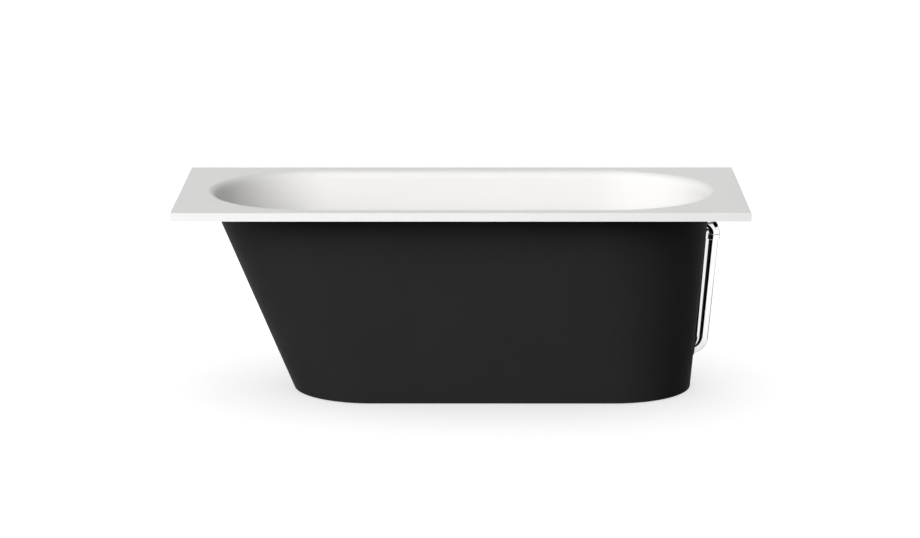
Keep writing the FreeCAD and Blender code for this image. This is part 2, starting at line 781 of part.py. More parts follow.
def sweep(body, name, kind, section, path):
    before = body.Shape.Volume if kind == "SubtractivePipe" else 0
    feature = body.newObject(f"PartDesign::{kind}", name)
    feature.Profile = section
    feature.Spine = (path, [f"Edge{index}" for index in range(1, len(path.Shape.Edges) + 1)])
    doc.recompute()
    if kind == "SubtractivePipe" and feature.Shape.Volume > before - 1:
        raise RuntimeError(f"{name} removes nothing")
    return feature


passage_path = pipe_path(casing_body, "passage_path", "0", "inlet_x", "pipe_top_x", "pipe_top_z")
passage = pipe_section(casing_body, "passage_section", "0", "inlet_x", "pipe_radius + pipe_passage")
doc.recompute()
sweep(casing_body, "pipe_passage_cut", "SubtractivePipe", passage, passage_path)
flange_hole = "casing_screw_radius + 2 * screw_clearance"
through_casing = "casing_face - casing_wall * 3"
casing_tools = [
    rod("casing_elbow_cut", "overflow_seal_radius + casing_hole_clearance", "casing_wall * 6",
        on_overflow(through_casing, "0", "0"), OUT_OF_WALL),
    rod("casing_collar_cut", "collar_radius + casing_hole_clearance", "casing_wall * 6",
        on_overflow(through_casing, "0", "collar_low + collar_radius"), OUT_OF_WALL)]
all_screws = [(across, f"{side} * screw_line") for across, side in screw_spots]
all_screws += [(across, "0") for across in end_screw.values()]
for index, (across, side) in enumerate(all_screws):
    casing_tools.append(rod(f"flange_hole_{index}", flange_hole, "casing_wall * 3",
                            (across, side, "casing_top - casing_wall * 2")))
keep(cut("outer_casing", casing_body, casing_tools), "outer_casing")


def screw(name, radius, head, length, base):
    """A round-headed screw pointing up, its head below the given point."""
    across, side, height = base
    shank = rod(f"{name}_shank", radius, length, base)
    cap = rod(f"{name}_head", head, "screw_head_height", (across, side, f"{height} - screw_head_height"))
    return fuse(name, [shank, cap])


keep(gather("casing_screws", [
    screw(f"casing_screw_{index}", "casing_screw_radius", "casing_screw_head",
          "casing_wall + casing_screw_bite", (across, side, "casing_top - casing_wall"))
    for index, (across, side) in enumerate(all_screws)]), "casing_screws")

# Base board, rails and screw feet
rail_spots = {"head": "-rail_head", "tap": "rail_tap"}
rail_screws = [(across, f"{side} * rail_screw_line") for across in rail_spots.values() for side in (-1, 1)]
base = block("base_blank", ("-base_head", "-base_half_width", "base_under"),
             ("base_tap", "base_half_width", "shell_under"))
keep(cut("base_board", base, [
    rod(f"base_hole_{index}", "rail_screw_radius + screw_clearance", "rail_screw_bite + screw_clearance",
        (across, side, "base_under"))
    for index, (across, side) in enumerate(rail_screws)]), "base_board")
half_rail = "rail_section / 2"
for name, across in rail_spots.items():
    rail = block(f"rail_{name}", (f"{across} - {half_rail}", "-rail_half_length", "rail_under"),
                 (f"{across} + {half_rail}", "rail_half_length", "base_under"))
    tools = [block(f"rail_{name}_inside",
                   (f"{across} - {half_rail} + rail_wall", "-rail_half_length - rail_wall",
                    "rail_under + rail_wall"),
                   (f"{across} + {half_rail} - rail_wall", "rail_half_length + rail_wall",
                    "base_under - rail_wall"))]
    for side in (-1, 1):
        for use, radius, span in (("stud", "stud_radius + stud_clearance", "foot_half_span"),
                                  ("screw", "rail_screw_radius + screw_clearance", "rail_screw_line")):
            tools.append(rod(f"rail_{name}_{use}_{side + 1}", radius, "rail_section * 2",
                             (across, f"{side} * {span}", f"rail_under - {half_rail}")))
    keep(cut(f"{name}_rail", rail, tools), f"{name}_rail")
keep(gather("rail_screws", [
    screw(f"rail_screw_{index}", "rail_screw_radius", "rail_screw_head", "rail_section + rail_screw_bite",
          (across, side, "rail_under"))
    for index, (across, side) in enumerate(rail_screws)]), "rail_screws")
caps = []
for name, across in rail_spots.items():
    for side in (-1, 1):
        ends = sorted((f"{side} * rail_half_length",
                       f"{side} * (rail_half_length + rail_cap_thick)"), key=value)
        caps.append(block(f"cap_{name}_{side + 1}", (f"{across} - {half_rail}", ends[0], "rail_under"),
                          (f"{across} + {half_rail}", ends[1], "base_under")))
keep(gather("rail_end_caps", caps), "rail_end_caps")

feet = {f"{end}_{side}": (rail_spots[end], f"{sign} * foot_half_span")
        for end in ("head", "tap") for side, sign in (("front", -1), ("back", 1))}


def nut(name, height, low, spot):
    across, side = spot
    solid = six_sided(f"{name}_blank", "nut_corner", height, (across, side, low))
    bore = rod(f"{name}_bore", "stud_radius + thread_clearance", f"3 * {height}",
               (across, side, f"{low} - {height}"))
    return cut(name, solid, [bore])


keep(gather("weld_nuts", [
    nut(f"weld_nut_{name}", "weld_nut_height", "rail_under - weld_nut_height", spot)
    for name, spot in feet.items()]), "weld_nuts")
keep(gather("lock_nuts", [
    nut(f"lock_nut_{name}", "lock_nut_height", "base_under", spot)
    for name, spot in feet.items()]), "lock_nuts")
for name, (across, side) in feet.items():
    socket = "stud_radius + stud_clearance"
    keep(turned(f"foot_pad_{name}", [
        ("0", "0"), ("foot_radius", "0"), ("foot_radius", "foot_base_thick"),
        ("foot_neck_radius", "foot_height"), (socket, "foot_height"),
        (socket, "foot_socket_floor"), ("0", "foot_socket_floor")],
        (across, side, "0")), f"foot_pad_{name}")
    stud = rod(f"stud_{name}", "stud_radius", "stud_top - foot_socket_floor",
               (across, side, "foot_socket_floor"))
    flats = six_sided(f"stud_flats_{name}", "wrench_corner", "wrench_height",
                      (across, side, "wrench_base"))
    keep(fuse(f"foot_stud_{name}", [stud, flats]), f"foot_stud_{name}")


# Pop-up waste: flange, its seals and the body below the floor
def add_spokes(body, name, low, height, inner, outer, width):
    """Three like arms about the body's own Z, from an inner to an outer radius."""
    sketch = add_sketch(body, f"{name}_sketch", "XY_Plane", ("0", "0", low))
    draw_box(sketch, inner, outer, f"-({width}) / 2", f"({width}) / 2")
    spoke = extrude(body, f"{name}_spoke", "Pad", sketch, height)
    pattern = body.newObject("PartDesign::PolarPattern", f"{name}_spokes")
    pattern.Originals = [spoke]
    axis = [feature for feature in body.Origin.OriginFeatures if feature.Role == "Z_Axis"][0]
    pattern.Axis = (axis, [""])
    pattern.Angle = 360
    pattern.Occurrences = 3
    body.Tip = pattern
    doc.recompute()


def add_disc(body, name, kind, low, height, radius, reverse=False):
    """A round pad, or a round pocket, on the body's own Z."""
    sketch = add_sketch(body, f"{name}_sketch", "XY_Plane", ("0", "0", low))
    draw_circle(sketch, "0", "0", radius)
    return extrude(body, name, kind, sketch, height, reverse)


barrel_inner = "waste_barrel_radius - waste_barrel_wall"
flange_body = turned("waste_flange", [
    (barrel_inner, "barrel_end"), ("waste_barrel_radius", "barrel_end"),
    ("waste_barrel_radius", "flange_under"), ("waste_flange_radius", "flange_under"),
    ("waste_flange_radius", "bowl_floor"), ("waste_flange_radius - waste_flange_rise", "flange_top"),
    ("waste_seat_radius", "flange_top"), ("waste_seat_radius", "plug_seat"),
    (barrel_inner, "plug_seat")], AT_DRAIN)
add_spokes(flange_body, "spider", "spider_base", "spider_height", "stem_radius",
           "waste_barrel_radius - waste_barrel_wall / 2", "spider_arm")
add_disc(flange_body, "spider_hub", "Pad", "spider_base", "spider_height", "spider_boss")
add_disc(flange_body, "stem_bore", "Pocket", "spider_base", "spider_height",
         "stem_radius + stem_clearance", True)
keep(flange_body, "waste_flange")
keep(ring("waste_flange_seal", waste_hole, "waste_flange_radius", "waste_seat", "flange_under", AT_DRAIN),
     "waste_flange_seal")
keep(ring("waste_body_gasket", waste_hole, "waste_body_flange", "body_top", "shell_under", AT_DRAIN),
     "waste_body_seal")
neck = "waste_barrel_radius + thread_clearance"
cup_roof = "body_top - waste_neck_drop"
cup_under = "waste_cup_floor - waste_cup_wall"
flange_low = "body_top - waste_body_flange_thick"
cup_turn = turned("waste_cup", [
    (neck, "body_top"), (neck, cup_roof), ("waste_cup_radius", cup_roof),
    ("waste_cup_radius", "waste_cup_floor"), ("trap_radius", "waste_cup_floor"),
    ("trap_radius", "spigot_end"), ("spigot_radius", "spigot_end"),
    ("spigot_radius", cup_under), ("waste_cup_outer", cup_under),
    ("waste_cup_outer", flange_low), ("waste_body_flange", flange_low), ("waste_body_flange", "body_top")],
    AT_DRAIN)
AT_INLET = ("drain_x", "0", "waste_inlet_height")
inlet_outside = rod("inlet_outside", "inlet_radius", "inlet_end - drain_x", AT_INLET, ALONG_X)
inlet_tube = cut("inlet_tube", inlet_outside, [
    rod("inlet_cup_clear", "waste_cup_radius", "waste_cup_radius * 4",
        ("drain_x", "0", "waste_inlet_height - waste_cup_radius * 2"))])
waste_hollow = cut("waste_hollow", fuse("waste_solid", [cup_turn, inlet_tube]), [
    rod("inlet_bore_cut", "inlet_bore", "inlet_end - drain_x", AT_INLET, ALONG_X),
    rod("inlet_socket_cut", "pipe_radius + pipe_clearance", "inlet_length + pipe_radius",
        ("inlet_x", "0", "waste_inlet_height"), ALONG_X),
    rod("pin_seat_cut", "lever_pin_radius + thread_clearance", "2 * pin_half",
        ("lever_x", "-pin_half", "lever_z"), ALONG_Y)])
inlet_lug = block("inlet_lug",
                  ("inlet_x - ferrule_lug", "cable_side - lug_half", "waste_inlet_height - lug_half"),
                  ("inlet_x", "inlet_bore + inlet_wall / 2", "waste_inlet_height + lug_half"))
ferrule_hole = "ferrule_radius + ferrule_clearance"
keep(cut("waste_body", fuse("waste_with_lug", [waste_hollow, inlet_lug]), [
    rod("inlet_lug_bore", ferrule_hole, "ferrule_length * 2",
        ("inlet_x - ferrule_length * 1.5", "cable_side", "waste_inlet_height"), ALONG_X)]), "waste_body")

# Plug with its stem and seal, and the lever that lifts it
keep(turned("plug_cap", [
    ("0", "plug_under"), ("plug_radius - plug_edge / 2", "plug_under"),
    ("plug_radius", "plug_under + plug_edge / 2"), ("plug_radius", "plug_under + plug_edge"),
    ("plug_shoulder", "plug_under + plug_edge + plug_shoulder_rise"),
    ("0", "plug_under + plug_edge + plug_dome")], AT_DRAIN), "plug_cap")
keep(ring("plug_seal", "plug_seal_bore", "plug_seal_radius", "plug_seat", "plug_under", AT_DRAIN),
     "plug_seal")
keep(turned("plug_stem", [
    ("0", "stem_end"), ("stem_tip_radius", "stem_end"), ("stem_radius", "stem_end + stem_tip_length"),
    ("stem_radius", "plug_under"), ("0", "plug_under")], AT_DRAIN), "plug_stem")
keep(rod("lever_pin", "lever_pin_radius", "2 * pin_half",
         ("lever_x", "-pin_half", "lever_z"), ALONG_Y), "lever_pin")


def add_side_pad(body, name, draw, near, far):
    """A pad across the body from one Y to another."""
    sketch = add_sketch(body, f"{name}_sketch", "XZ_Plane", ("0", "0", f"-({near})"))
    draw(sketch)
    return extrude(body, name, "Pad", sketch, f"({far}) - ({near})", True)


lever_body = add_body("lift_lever")
lever_near = "-lever_thick / 2"
hub_far = "fork_near - fork_clearance"
add_side_pad(lever_body, "lever_hub_pad", lambda sketch: draw_circle(sketch, "0", "0", "lever_hub"),
             lever_near, hub_far)
add_side_pad(lever_body, "lever_lift", lambda sketch: draw_box(
    sketch, "-lift_arm", "0", "-arm_half", "arm_half"), lever_near, "lever_thick / 2")
add_side_pad(lever_body, "lever_tip", lambda sketch: draw_circle(sketch, "-lift_arm", "0", "lift_tip"),
             lever_near, "lever_thick / 2")
add_side_pad(lever_body, "lever_pull", lambda sketch: draw_box(
    sketch, "-arm_half", "arm_half", "0", "lever_reach + arm_tip"), lever_near, hub_far)
add_side_pad(lever_body, "lever_fork_pin", lambda sketch: draw_circle(
    sketch, "0", "lever_reach", "fork_pin_radius"), lever_near, "fork_near + fork_thick + fork_clearance")
bore_sketch = add_sketch(lever_body, "lever_bore_sketch", "XZ_Plane", ("0", "0", f"-({lever_near})"))
draw_circle(bore_sketch, "0", "0", "lever_pin_radius + lever_pin_clearance")
extrude(lever_body, "lever_bore", "Pocket", bore_sketch, f"({hub_far}) - ({lever_near})")
put(lever_body, ("lever_x", "0", "lever_z"), (Y_AXIS, "-lift_swing"))
keep(lever_body, "lift_lever")

fork_middle = "lever_z + lever_reach * (1 + cos(lift_swing)) / 2"
slot_half = "fork_pin_radius + fork_clearance"
fork_blank = block(
    "fork_blank", ("fork_x - fork_width / 2", "fork_near", f"{fork_middle} - fork_height / 2"),
    ("fork_x + fork_width / 2", "fork_near + fork_thick", f"{fork_middle} + fork_height / 2"))
fork_slot = block(
    "fork_slot",
    (f"fork_x - ({slot_half})", "fork_near - fork_thick", f"{fork_middle} - fork_slot_height / 2"),
    (f"fork_x + {slot_half}", "fork_near + 2 * fork_thick", f"{fork_middle} + fork_slot_height / 2"))
fork_plate = cut("fork_plate", fork_blank, [fork_slot])
keep(fuse("pull_rod", [fork_plate, rod(
    "pull_rod_bar", "rod_radius", "rod_length + fork_width / 2 - fork_pin_radius - fork_clearance",
    (f"fork_x + {slot_half}", "cable_side", "waste_inlet_height"), ALONG_X)]), "pull_rod")

# Overflow: plate, seals, hub and elbow square to the end wall
keep(ring("overflow_seal_outside", "overflow_hole_radius", "overflow_seal_radius", "0",
          "overflow_seal_thick", AT_OVERFLOW, OUT_OF_WALL), "overflow_outer_seal")
keep(ring("overflow_seal_inside", "overflow_hole_radius", "overflow_seal_radius", "plate_back", "seat_in",
          AT_OVERFLOW, OUT_OF_WALL), "overflow_inner_seal")
hub_low = "plate_front + barrel_step_depth"
keep(turned("overflow_plate", [
    ("barrel_step_bore", "plate_front"), ("overflow_plate_radius - collar_chamfer", "plate_front"),
    ("overflow_plate_radius", "plate_front + collar_chamfer"), ("overflow_plate_radius", "plate_back"),
    ("barrel_radius", "plate_back"), ("barrel_radius", "barrel_reach"), ("barrel_bore", "barrel_reach"),
    ("barrel_bore", hub_low), ("barrel_step_bore", hub_low)], AT_OVERFLOW, OUT_OF_WALL), "overflow_plate")
hub_outer = "barrel_bore - hub_clearance"
hub_body = ring("overflow_hub", f"{hub_outer} - hub_wall", hub_outer, hub_low, f"{hub_low} + hub_length",
                AT_OVERFLOW, OUT_OF_WALL)
add_spokes(hub_body, "hub", hub_low, "hub_length", "spindle_radius",
           f"{hub_outer} - hub_wall / 2", "spider_arm")
add_disc(hub_body, "hub_boss_pad", "Pad", "plate_front", "hub_boss_length", "hub_boss")
add_disc(hub_body, "hub_bore", "Pocket", "plate_front", "hub_boss_length",
         "spindle_radius + lever_pin_clearance", True)
keep(hub_body, "overflow_hub")

elbow_body = add_body("elbow")
put(elbow_body, AT_OVERFLOW, WITH_WALL)
flange_circle = add_sketch(elbow_body, "elbow_flange_sketch", "YZ_Plane", ("0", "0", "overflow_seal_thick"))
draw_circle(flange_circle, "0", "0", "overflow_seal_radius")
extrude(elbow_body, "elbow_flange", "Pad", flange_circle, "elbow_flange_thick")
elbow_path = add_sketch(elbow_body, "elbow_path", "XZ_Plane")
turn_x = value("pipe_out - elbow_bend")
bend_radius = value("elbow_bend")
level_run = elbow_path.addGeometry(
    Part.LineSegment(Vector(value("overflow_seal_thick"), 0, 0), Vector(turn_x, 0, 0)), False)
elbow_circle = Part.Circle(Vector(turn_x, -bend_radius, 0), Z_AXIS, bend_radius)
elbow_arc = elbow_path.addGeometry(Part.ArcOfCircle(elbow_circle, 0, math.pi / 2), False)
leg_run = elbow_path.addGeometry(Part.LineSegment(
    Vector(value("pipe_out"), -bend_radius, 0), Vector(value("pipe_out"), value("leg_end"), 0)), False)
elbow_path.addConstraint(Sketcher.Constraint("Tangent", level_run, 2, elbow_arc, 2))
elbow_path.addConstraint(Sketcher.Constraint("Tangent", elbow_arc, 1, leg_run, 1))
elbow_path.addConstraint(Sketcher.Constraint("Horizontal", level_run))
elbow_path.addConstraint(Sketcher.Constraint("Vertical", leg_run))
hold(elbow_path, "Radius", elbow_arc, text="elbow_bend")
hold_point(elbow_path, level_run, 1, "overflow_seal_thick", "0")
hold_point(elbow_path, leg_run, 2, "pipe_out", "leg_end")
for name, kind, radius in (("elbow_tube", "AdditivePipe", "elbow_radius"),
                           ("elbow_hollow", "SubtractivePipe", "elbow_bore")):
    section = add_sketch(elbow_body, f"{name}_section", "YZ_Plane", ("0", "0", "overflow_seal_thick"))
    draw_circle(section, "0", "0", radius)
    doc.recompute()
    sweep(elbow_body, name, kind, section, elbow_path)
socket_sketch = add_sketch(elbow_body, "elbow_socket_sketch", "XY_Plane", ("0", "0", "leg_end"))
draw_circle(socket_sketch, "pipe_out", "0", "pipe_radius + pipe_clearance")
extrude(elbow_body, "elbow_socket_cut", "Pocket", socket_sketch, "elbow_socket", True)
lug_low = "ferrule_up_low + ferrule_length / 2 - ferrule_lug / 2"
elbow_lug = doc.addObject("Part::Box", "elbow_lug")
bind(elbow_lug, "Length", "2 * lug_half")
bind(elbow_lug, "Width", "(elbow_bore + elbow_radius) / 2 - cable_side + lug_half")
bind(elbow_lug, "Height", "ferrule_lug")
put(elbow_lug, on_overflow("pipe_out - lug_half", "cable_side - lug_half", lug_low), WITH_WALL)
keep(cut("overflow_elbow", fuse("elbow_with_lug", [elbow_body, elbow_lug]), [
    rod("elbow_lug_bore", ferrule_hole, "ferrule_length",
        on_overflow("pipe_out", "cable_side", "ferrule_up_low"), WITH_WALL)]), "overflow_elbow")
AT_LEG = on_overflow("pipe_out", "0", "0")
pipe_hole = "pipe_radius + pipe_clearance"
collar_high = "leg_top - joint_gap"
collar_shelf = "leg_end - joint_seal_thick"
keep(turned("overflow_collar", [
    (pipe_hole, "collar_low"), ("collar_radius - collar_chamfer", "collar_low"),
    ("collar_radius", "collar_low + collar_chamfer"), ("collar_radius", f"{collar_high} - collar_chamfer"),
    ("collar_radius - collar_chamfer", collar_high), ("collar_bore", collar_high),
    ("collar_bore", collar_shelf), (pipe_hole, collar_shelf)], AT_LEG, WITH_WALL), "overflow_collar")
keep(ring("pipe_top_ring", pipe_hole, "elbow_radius", collar_shelf, "leg_end", AT_LEG, WITH_WALL),
     "pipe_top_seal")

# Knob with its spindle and cable drum
knob_floor = "knob_inner + knob_boss_depth - knob_socket"
socket_radius = "spindle_radius + thread_clearance"
knob_body = turned("overflow_knob", [
    ("0", "knob_front"), ("knob_radius - knob_wall", "knob_front"),
    ("knob_radius", "knob_front + knob_wall"),
    ("knob_radius", "knob_back"), ("knob_radius - knob_wall", "knob_back"),
    ("knob_radius - knob_wall", "knob_inner"), ("knob_boss", "knob_inner"),
    ("knob_boss", "knob_inner + knob_boss_depth"), (socket_radius, "knob_inner + knob_boss_depth"),
    (socket_radius, knob_floor), ("0", knob_floor)], AT_OVERFLOW, OUT_OF_WALL)
grip_sketch = add_sketch(knob_body, "grip_sketch", "XY_Plane", ("0", "0", "knob_front"))
draw_box(grip_sketch, "-grip_length / 2", "grip_length / 2", "-grip_width / 2", "grip_width / 2")
extrude(knob_body, "grip", "Pad", grip_sketch, "grip_height", True)
keep(knob_body, "overflow_knob")
drum_near = "pipe_out - drum_width / 2"
drum_far = "pipe_out + drum_width / 2"
keep(turned("knob_spindle", [
    ("0", knob_floor), ("spindle_radius", knob_floor),
    ("spindle_radius", drum_near), ("drum_flange", drum_near),
    ("drum_flange", f"{drum_near} + drum_flange_thick"), ("drum_radius", f"{drum_near} + drum_flange_thick"),
    ("drum_radius", f"{drum_far} - drum_flange_thick"), ("drum_flange", f"{drum_far} - drum_flange_thick"),
    ("drum_flange", drum_far), ("0", drum_far)], AT_OVERFLOW, OUT_OF_WALL), "knob_spindle")

# Overflow pipe, its joint at the waste, and the rubber where it passes the casing
pipe_body = add_body("overflow_pipe")
for name, kind, radius in (("pipe_outside", "AdditivePipe", "pipe_radius"),
                           ("pipe_inside", "SubtractivePipe", "pipe_radius - pipe_wall")):
    path = pipe_path(pipe_body, f"{name}_path", "0", "inlet_x", "pipe_top_x", "pipe_top_z")
    section = pipe_section(pipe_body, f"{name}_section", "0", "inlet_x", radius)
    doc.recompute()
    sweep(pipe_body, name, kind, section, path)
keep(pipe_body, "overflow_pipe")
LEVEL_AXIS = ("0", "0", "waste_inlet_height")
inlet_shelf = "inlet_end + joint_seal_thick"
inlet_nut_bore = "inlet_radius + pipe_clearance"
inlet_nut_outer = f"{inlet_nut_bore} + joint_nut_wall"
keep(ring("pipe_low_ring", pipe_hole, "inlet_radius", "inlet_end", inlet_shelf, LEVEL_AXIS, ALONG_X),
     "pipe_low_seal")
keep(turned("inlet_nut", [
    (inlet_nut_bore, "inlet_end - inlet_nut_grip"), (inlet_nut_outer, "inlet_end - inlet_nut_grip"),
    (inlet_nut_outer, f"{inlet_shelf} + joint_lip"), (pipe_hole, f"{inlet_shelf} + joint_lip"),
    (pipe_hole, inlet_shelf), (inlet_nut_bore, inlet_shelf)], LEVEL_AXIS, ALONG_X), "inlet_nut")


def leaning_slab(name, near, far):
    """A wide slab parallel to the end of the casing."""
    slab = doc.addObject("Part::Box", name)
    bind(slab, "Length", f"({far}) - ({near})")
    bind(slab, "Width", "4 * pipe_radius")
    bind(slab, "Height", "overflow_height")
    put(slab, on_overflow(near, "-2 * pipe_radius", "-overflow_height"), WITH_WALL)
    return slab


def bend_tube(name, radius):
    """The level run and the bend of the pipe's line, thickened to a radius."""
    body = add_body(name)
    path = pipe_path(body, f"{name}_path", "0", "inlet_end", "pipe_top_x", "pipe_top_z")
    section = pipe_section(body, f"{name}_section", "0", "inlet_end", radius)
    doc.recompute()
    tube = body.newObject("PartDesign::AdditivePipe", f"{name}_sweep")
    tube.Profile = section
    tube.Spine = (path, ["Edge1", "Edge2"])
    doc.recompute()
    return body


def common(name, first, second):
    result = doc.addObject("Part::Common", name)
    result.Base = first
    result.Tool = second
    doc.recompute()
    return result


lip_face = "casing_face + grommet_lip"
sleeve = common("grommet_sleeve", bend_tube("sleeve_tube", "pipe_radius + pipe_passage - grommet_fit"),
                leaning_slab("sleeve_slab", "casing_face - casing_wall - grommet_lip", lip_face))
lip = common("grommet_lip", bend_tube("lip_tube", "pipe_radius + grommet_flange"),
             leaning_slab("lip_slab", "casing_face + grommet_fit", lip_face))
keep(cut("pipe_grommet", fuse("grommet_solid", [sleeve, lip]), [
    bend_tube("grommet_bore", "pipe_radius + grommet_fit")]), "pipe_grommet")

# Cable inside the pipe, from the drum to the lever's rod
low_ferrule = cut("ferrule_low", rod(
    "ferrule_low_blank", "ferrule_radius", "ferrule_length",
    ("ferrule_low_x", "cable_side", "waste_inlet_height"), ALONG_X), [rod(
        "ferrule_low_bore", "ferrule_bore", "ferrule_length * 2",
        ("ferrule_low_x - ferrule_length / 2", "cable_side", "waste_inlet_height"), ALONG_X)])
high_ferrule = cut("ferrule_high", rod(
    "ferrule_high_blank", "ferrule_radius", "ferrule_length",
    on_overflow("pipe_out", "cable_side", "ferrule_up_low"), WITH_WALL), [rod(
        "ferrule_high_bore", "ferrule_bore", "ferrule_length * 2",
        on_overflow("pipe_out", "cable_side", "ferrule_up_low - ferrule_length / 2"), WITH_WALL)])
keep(gather("cable_ferrules", [low_ferrule, high_ferrule]), "cable_ferrules")
sheath_body = add_body("cable_sheath")
sheath_path = pipe_path(
    sheath_body, "sheath_path", "cable_side", "cable_low_x", "cable_top_x", "cable_top_z")
sheath_section = pipe_section(sheath_body, "sheath_section", "cable_side", "cable_low_x", "sheath_radius")
doc.recompute()
sweep(sheath_body, "sheath", "AdditivePipe", sheath_section, sheath_path)
wire = rod("cable_wire", "wire_radius", "ferrule_length + wire_free",
           on_overflow("pipe_out", "cable_side", "ferrule_up_low"), WITH_WALL)
keep(fuse("pull_cable", [sheath_body, wire]), "pull_cable")


# Trap below the waste
def trap_tube(name, first_x, first_z, turn_z, last_z, upward):
    """A hollow return bend: straight, a half turn towards the head end, then straight to last_z."""
    body = add_body(name)
    last_x = f"{first_x} - 2 * trap_bend"
    radius = value("trap_bend")
    middle = Vector(value(first_x) - radius, value(turn_z), 0)
    circle = Part.Circle(middle, Z_AXIS, radius)
    for part, kind, section_radius in (("outside", "AdditivePipe", "trap_radius"),
                                       ("inside", "SubtractivePipe", "trap_radius - trap_wall")):
        path = add_sketch(body, f"{name}_{part}_path", "XZ_Plane")
        first = path.addGeometry(Part.LineSegment(
            Vector(value(first_x), value(first_z), 0), Vector(value(first_x), middle.y, 0)), False)
        begin = 0 if upward else math.pi
        arc = path.addGeometry(Part.ArcOfCircle(circle, begin, begin + math.pi), False)
        last = path.addGeometry(Part.LineSegment(
            Vector(value(last_x), middle.y, 0), Vector(value(last_x), value(last_z), 0)), False)
        near, far = (1, 2) if upward else (2, 1)
        path.addConstraint(Sketcher.Constraint("Tangent", first, 2, arc, near))
        path.addConstraint(Sketcher.Constraint("Tangent", arc, far, last, 1))
        path.addConstraint(Sketcher.Constraint("Vertical", first))
        path.addConstraint(Sketcher.Constraint("Vertical", last))
        hold(path, "Radius", arc, text="trap_bend")
        hold(path, "DistanceY", -1, 1, arc, 3, text=turn_z)
        hold_point(path, first, 1, first_x, first_z)
        hold(path, "DistanceY", -1, 1, last, 2, text=last_z)
        section = add_sketch(body, f"{name}_{part}_section", "XY_Plane", ("0", "0", first_z))
        draw_circle(section, first_x, "0", section_radius)
        doc.recompute()
        sweep(body, f"{name}_{part}", kind, section, path)
    return body


trap_bore = "trap_radius - trap_wall"
collar_under = "trap_inlet - trap_collar_thick"
trap_hole = "trap_radius + pipe_clearance"
keep(ring("trap_inlet_ring", "trap_radius", "trap_radius + trap_collar",
          "trap_inlet", "spigot_end", AT_DRAIN), "trap_inlet_seal")
keep(fuse("trap_bend", [
    trap_tube("trap_low_tube", "drain_x", "trap_inlet", "trap_low", "trap_mid_end", False),
    ring("trap_collar_ring", trap_bore, "trap_radius + trap_collar",
         collar_under, "trap_inlet", AT_DRAIN)]), "trap_bend")
nut_bore = "spigot_radius + pipe_clearance"
nut_outer = f"{nut_bore} + trap_nut_wall"
nut_high = "spigot_end + trap_nut_grip"
keep(turned("trap_inlet_nut", [
    (trap_hole, f"{collar_under} - trap_nut_lip"), (nut_outer, f"{collar_under} - trap_nut_lip"),
    (nut_outer, nut_high), (nut_bore, nut_high),
    (nut_bore, collar_under), (trap_hole, collar_under)], AT_DRAIN), "trap_inlet_nut")
AT_TRAP = ("trap_mid_x", "0", "0")
keep(fuse("trap_outlet", [
    trap_tube("trap_high_tube", "trap_mid_x", "trap_mid_end", "trap_high", "trap_outlet_end", True),
    turned("trap_socket_turn", [
        (trap_hole, "trap_socket_low"), ("trap_socket_radius", "trap_socket_low"),
        ("trap_socket_radius", "trap_high"), (trap_bore, "trap_high"), (trap_bore, "trap_mid_end"),
        (trap_hole, "trap_mid_end")], AT_TRAP)]), "trap_outlet")
trap_shelf = "trap_socket_low - joint_seal_thick"
mid_bore = "trap_socket_radius + pipe_clearance"
mid_outer = f"{mid_bore} + joint_nut_wall"
keep(ring("trap_mid_ring", trap_hole, "trap_socket_radius", trap_shelf, "trap_socket_low", AT_TRAP),
     "trap_mid_seal")
keep(turned("trap_mid_nut", [
    (trap_hole, f"{trap_shelf} - joint_lip"), (mid_outer, f"{trap_shelf} - joint_lip"),
    (mid_outer, "trap_socket_low + trap_nut_grip"), (mid_bore, "trap_socket_low + trap_nut_grip"),
    (mid_bore, trap_shelf), (trap_hole, trap_shelf)], AT_TRAP), "trap_mid_nut")

doc.recompute()
for thing in doc.Objects:
    if "Invalid" in thing.State or "Error" in thing.State:
        raise RuntimeError(f"{thing.Name} failed: {thing.State}")
for piece in pieces:
    if piece.Shape.isNull() or not piece.Shape.isValid() or not piece.Shape.Solids:
        raise RuntimeError(f"{piece.Label} is not a sound solid")

os.makedirs("parts", exist_ok=True)
for piece in pieces:
    piece.Shape.exportStep(os.path.join("parts", f"{piece.Label}.step"))
    box = piece.Shape.BoundBox
    print(f"{piece.Label}: {len(piece.Shape.Solids)} solid, {piece.Shape.Volume:.0f} mm3, "
          f"x {box.XMin:.1f} to {box.XMax:.1f}, y {box.YMin:.1f} to {box.YMax:.1f}, "
          f"z {box.ZMin:.1f} to {box.ZMax:.1f}")
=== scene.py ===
"""Looks of a built-in bathtub: finishes, turned and threaded pieces, studio and camera around its model."""
import json
import logging
import math
from dataclasses import dataclass, field
from enum import Enum

import bmesh
import bpy
import numpy as np
from bpy.types import Material, Node, NodeSocket, NodeTree, Object
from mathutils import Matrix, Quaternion, Vector


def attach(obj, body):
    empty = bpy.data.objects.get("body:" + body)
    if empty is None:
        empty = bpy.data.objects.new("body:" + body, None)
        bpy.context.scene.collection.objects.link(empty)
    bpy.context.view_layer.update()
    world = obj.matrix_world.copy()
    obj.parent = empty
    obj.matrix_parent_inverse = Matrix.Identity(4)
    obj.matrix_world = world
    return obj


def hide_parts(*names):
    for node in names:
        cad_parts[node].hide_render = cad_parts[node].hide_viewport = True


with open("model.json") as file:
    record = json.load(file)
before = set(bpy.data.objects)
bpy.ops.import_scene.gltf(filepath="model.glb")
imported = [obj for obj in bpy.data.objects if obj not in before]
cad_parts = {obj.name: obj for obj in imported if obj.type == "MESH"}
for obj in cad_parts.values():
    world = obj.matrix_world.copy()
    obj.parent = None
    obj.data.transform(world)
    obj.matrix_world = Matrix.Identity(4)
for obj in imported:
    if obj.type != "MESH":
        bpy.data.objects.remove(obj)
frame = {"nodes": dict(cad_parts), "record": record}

log = logging.getLogger("bathtub")
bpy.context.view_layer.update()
MM = 0.001
TURN = 2 * math.pi
Names = tuple[str, ...]
Row = tuple[float, ...]
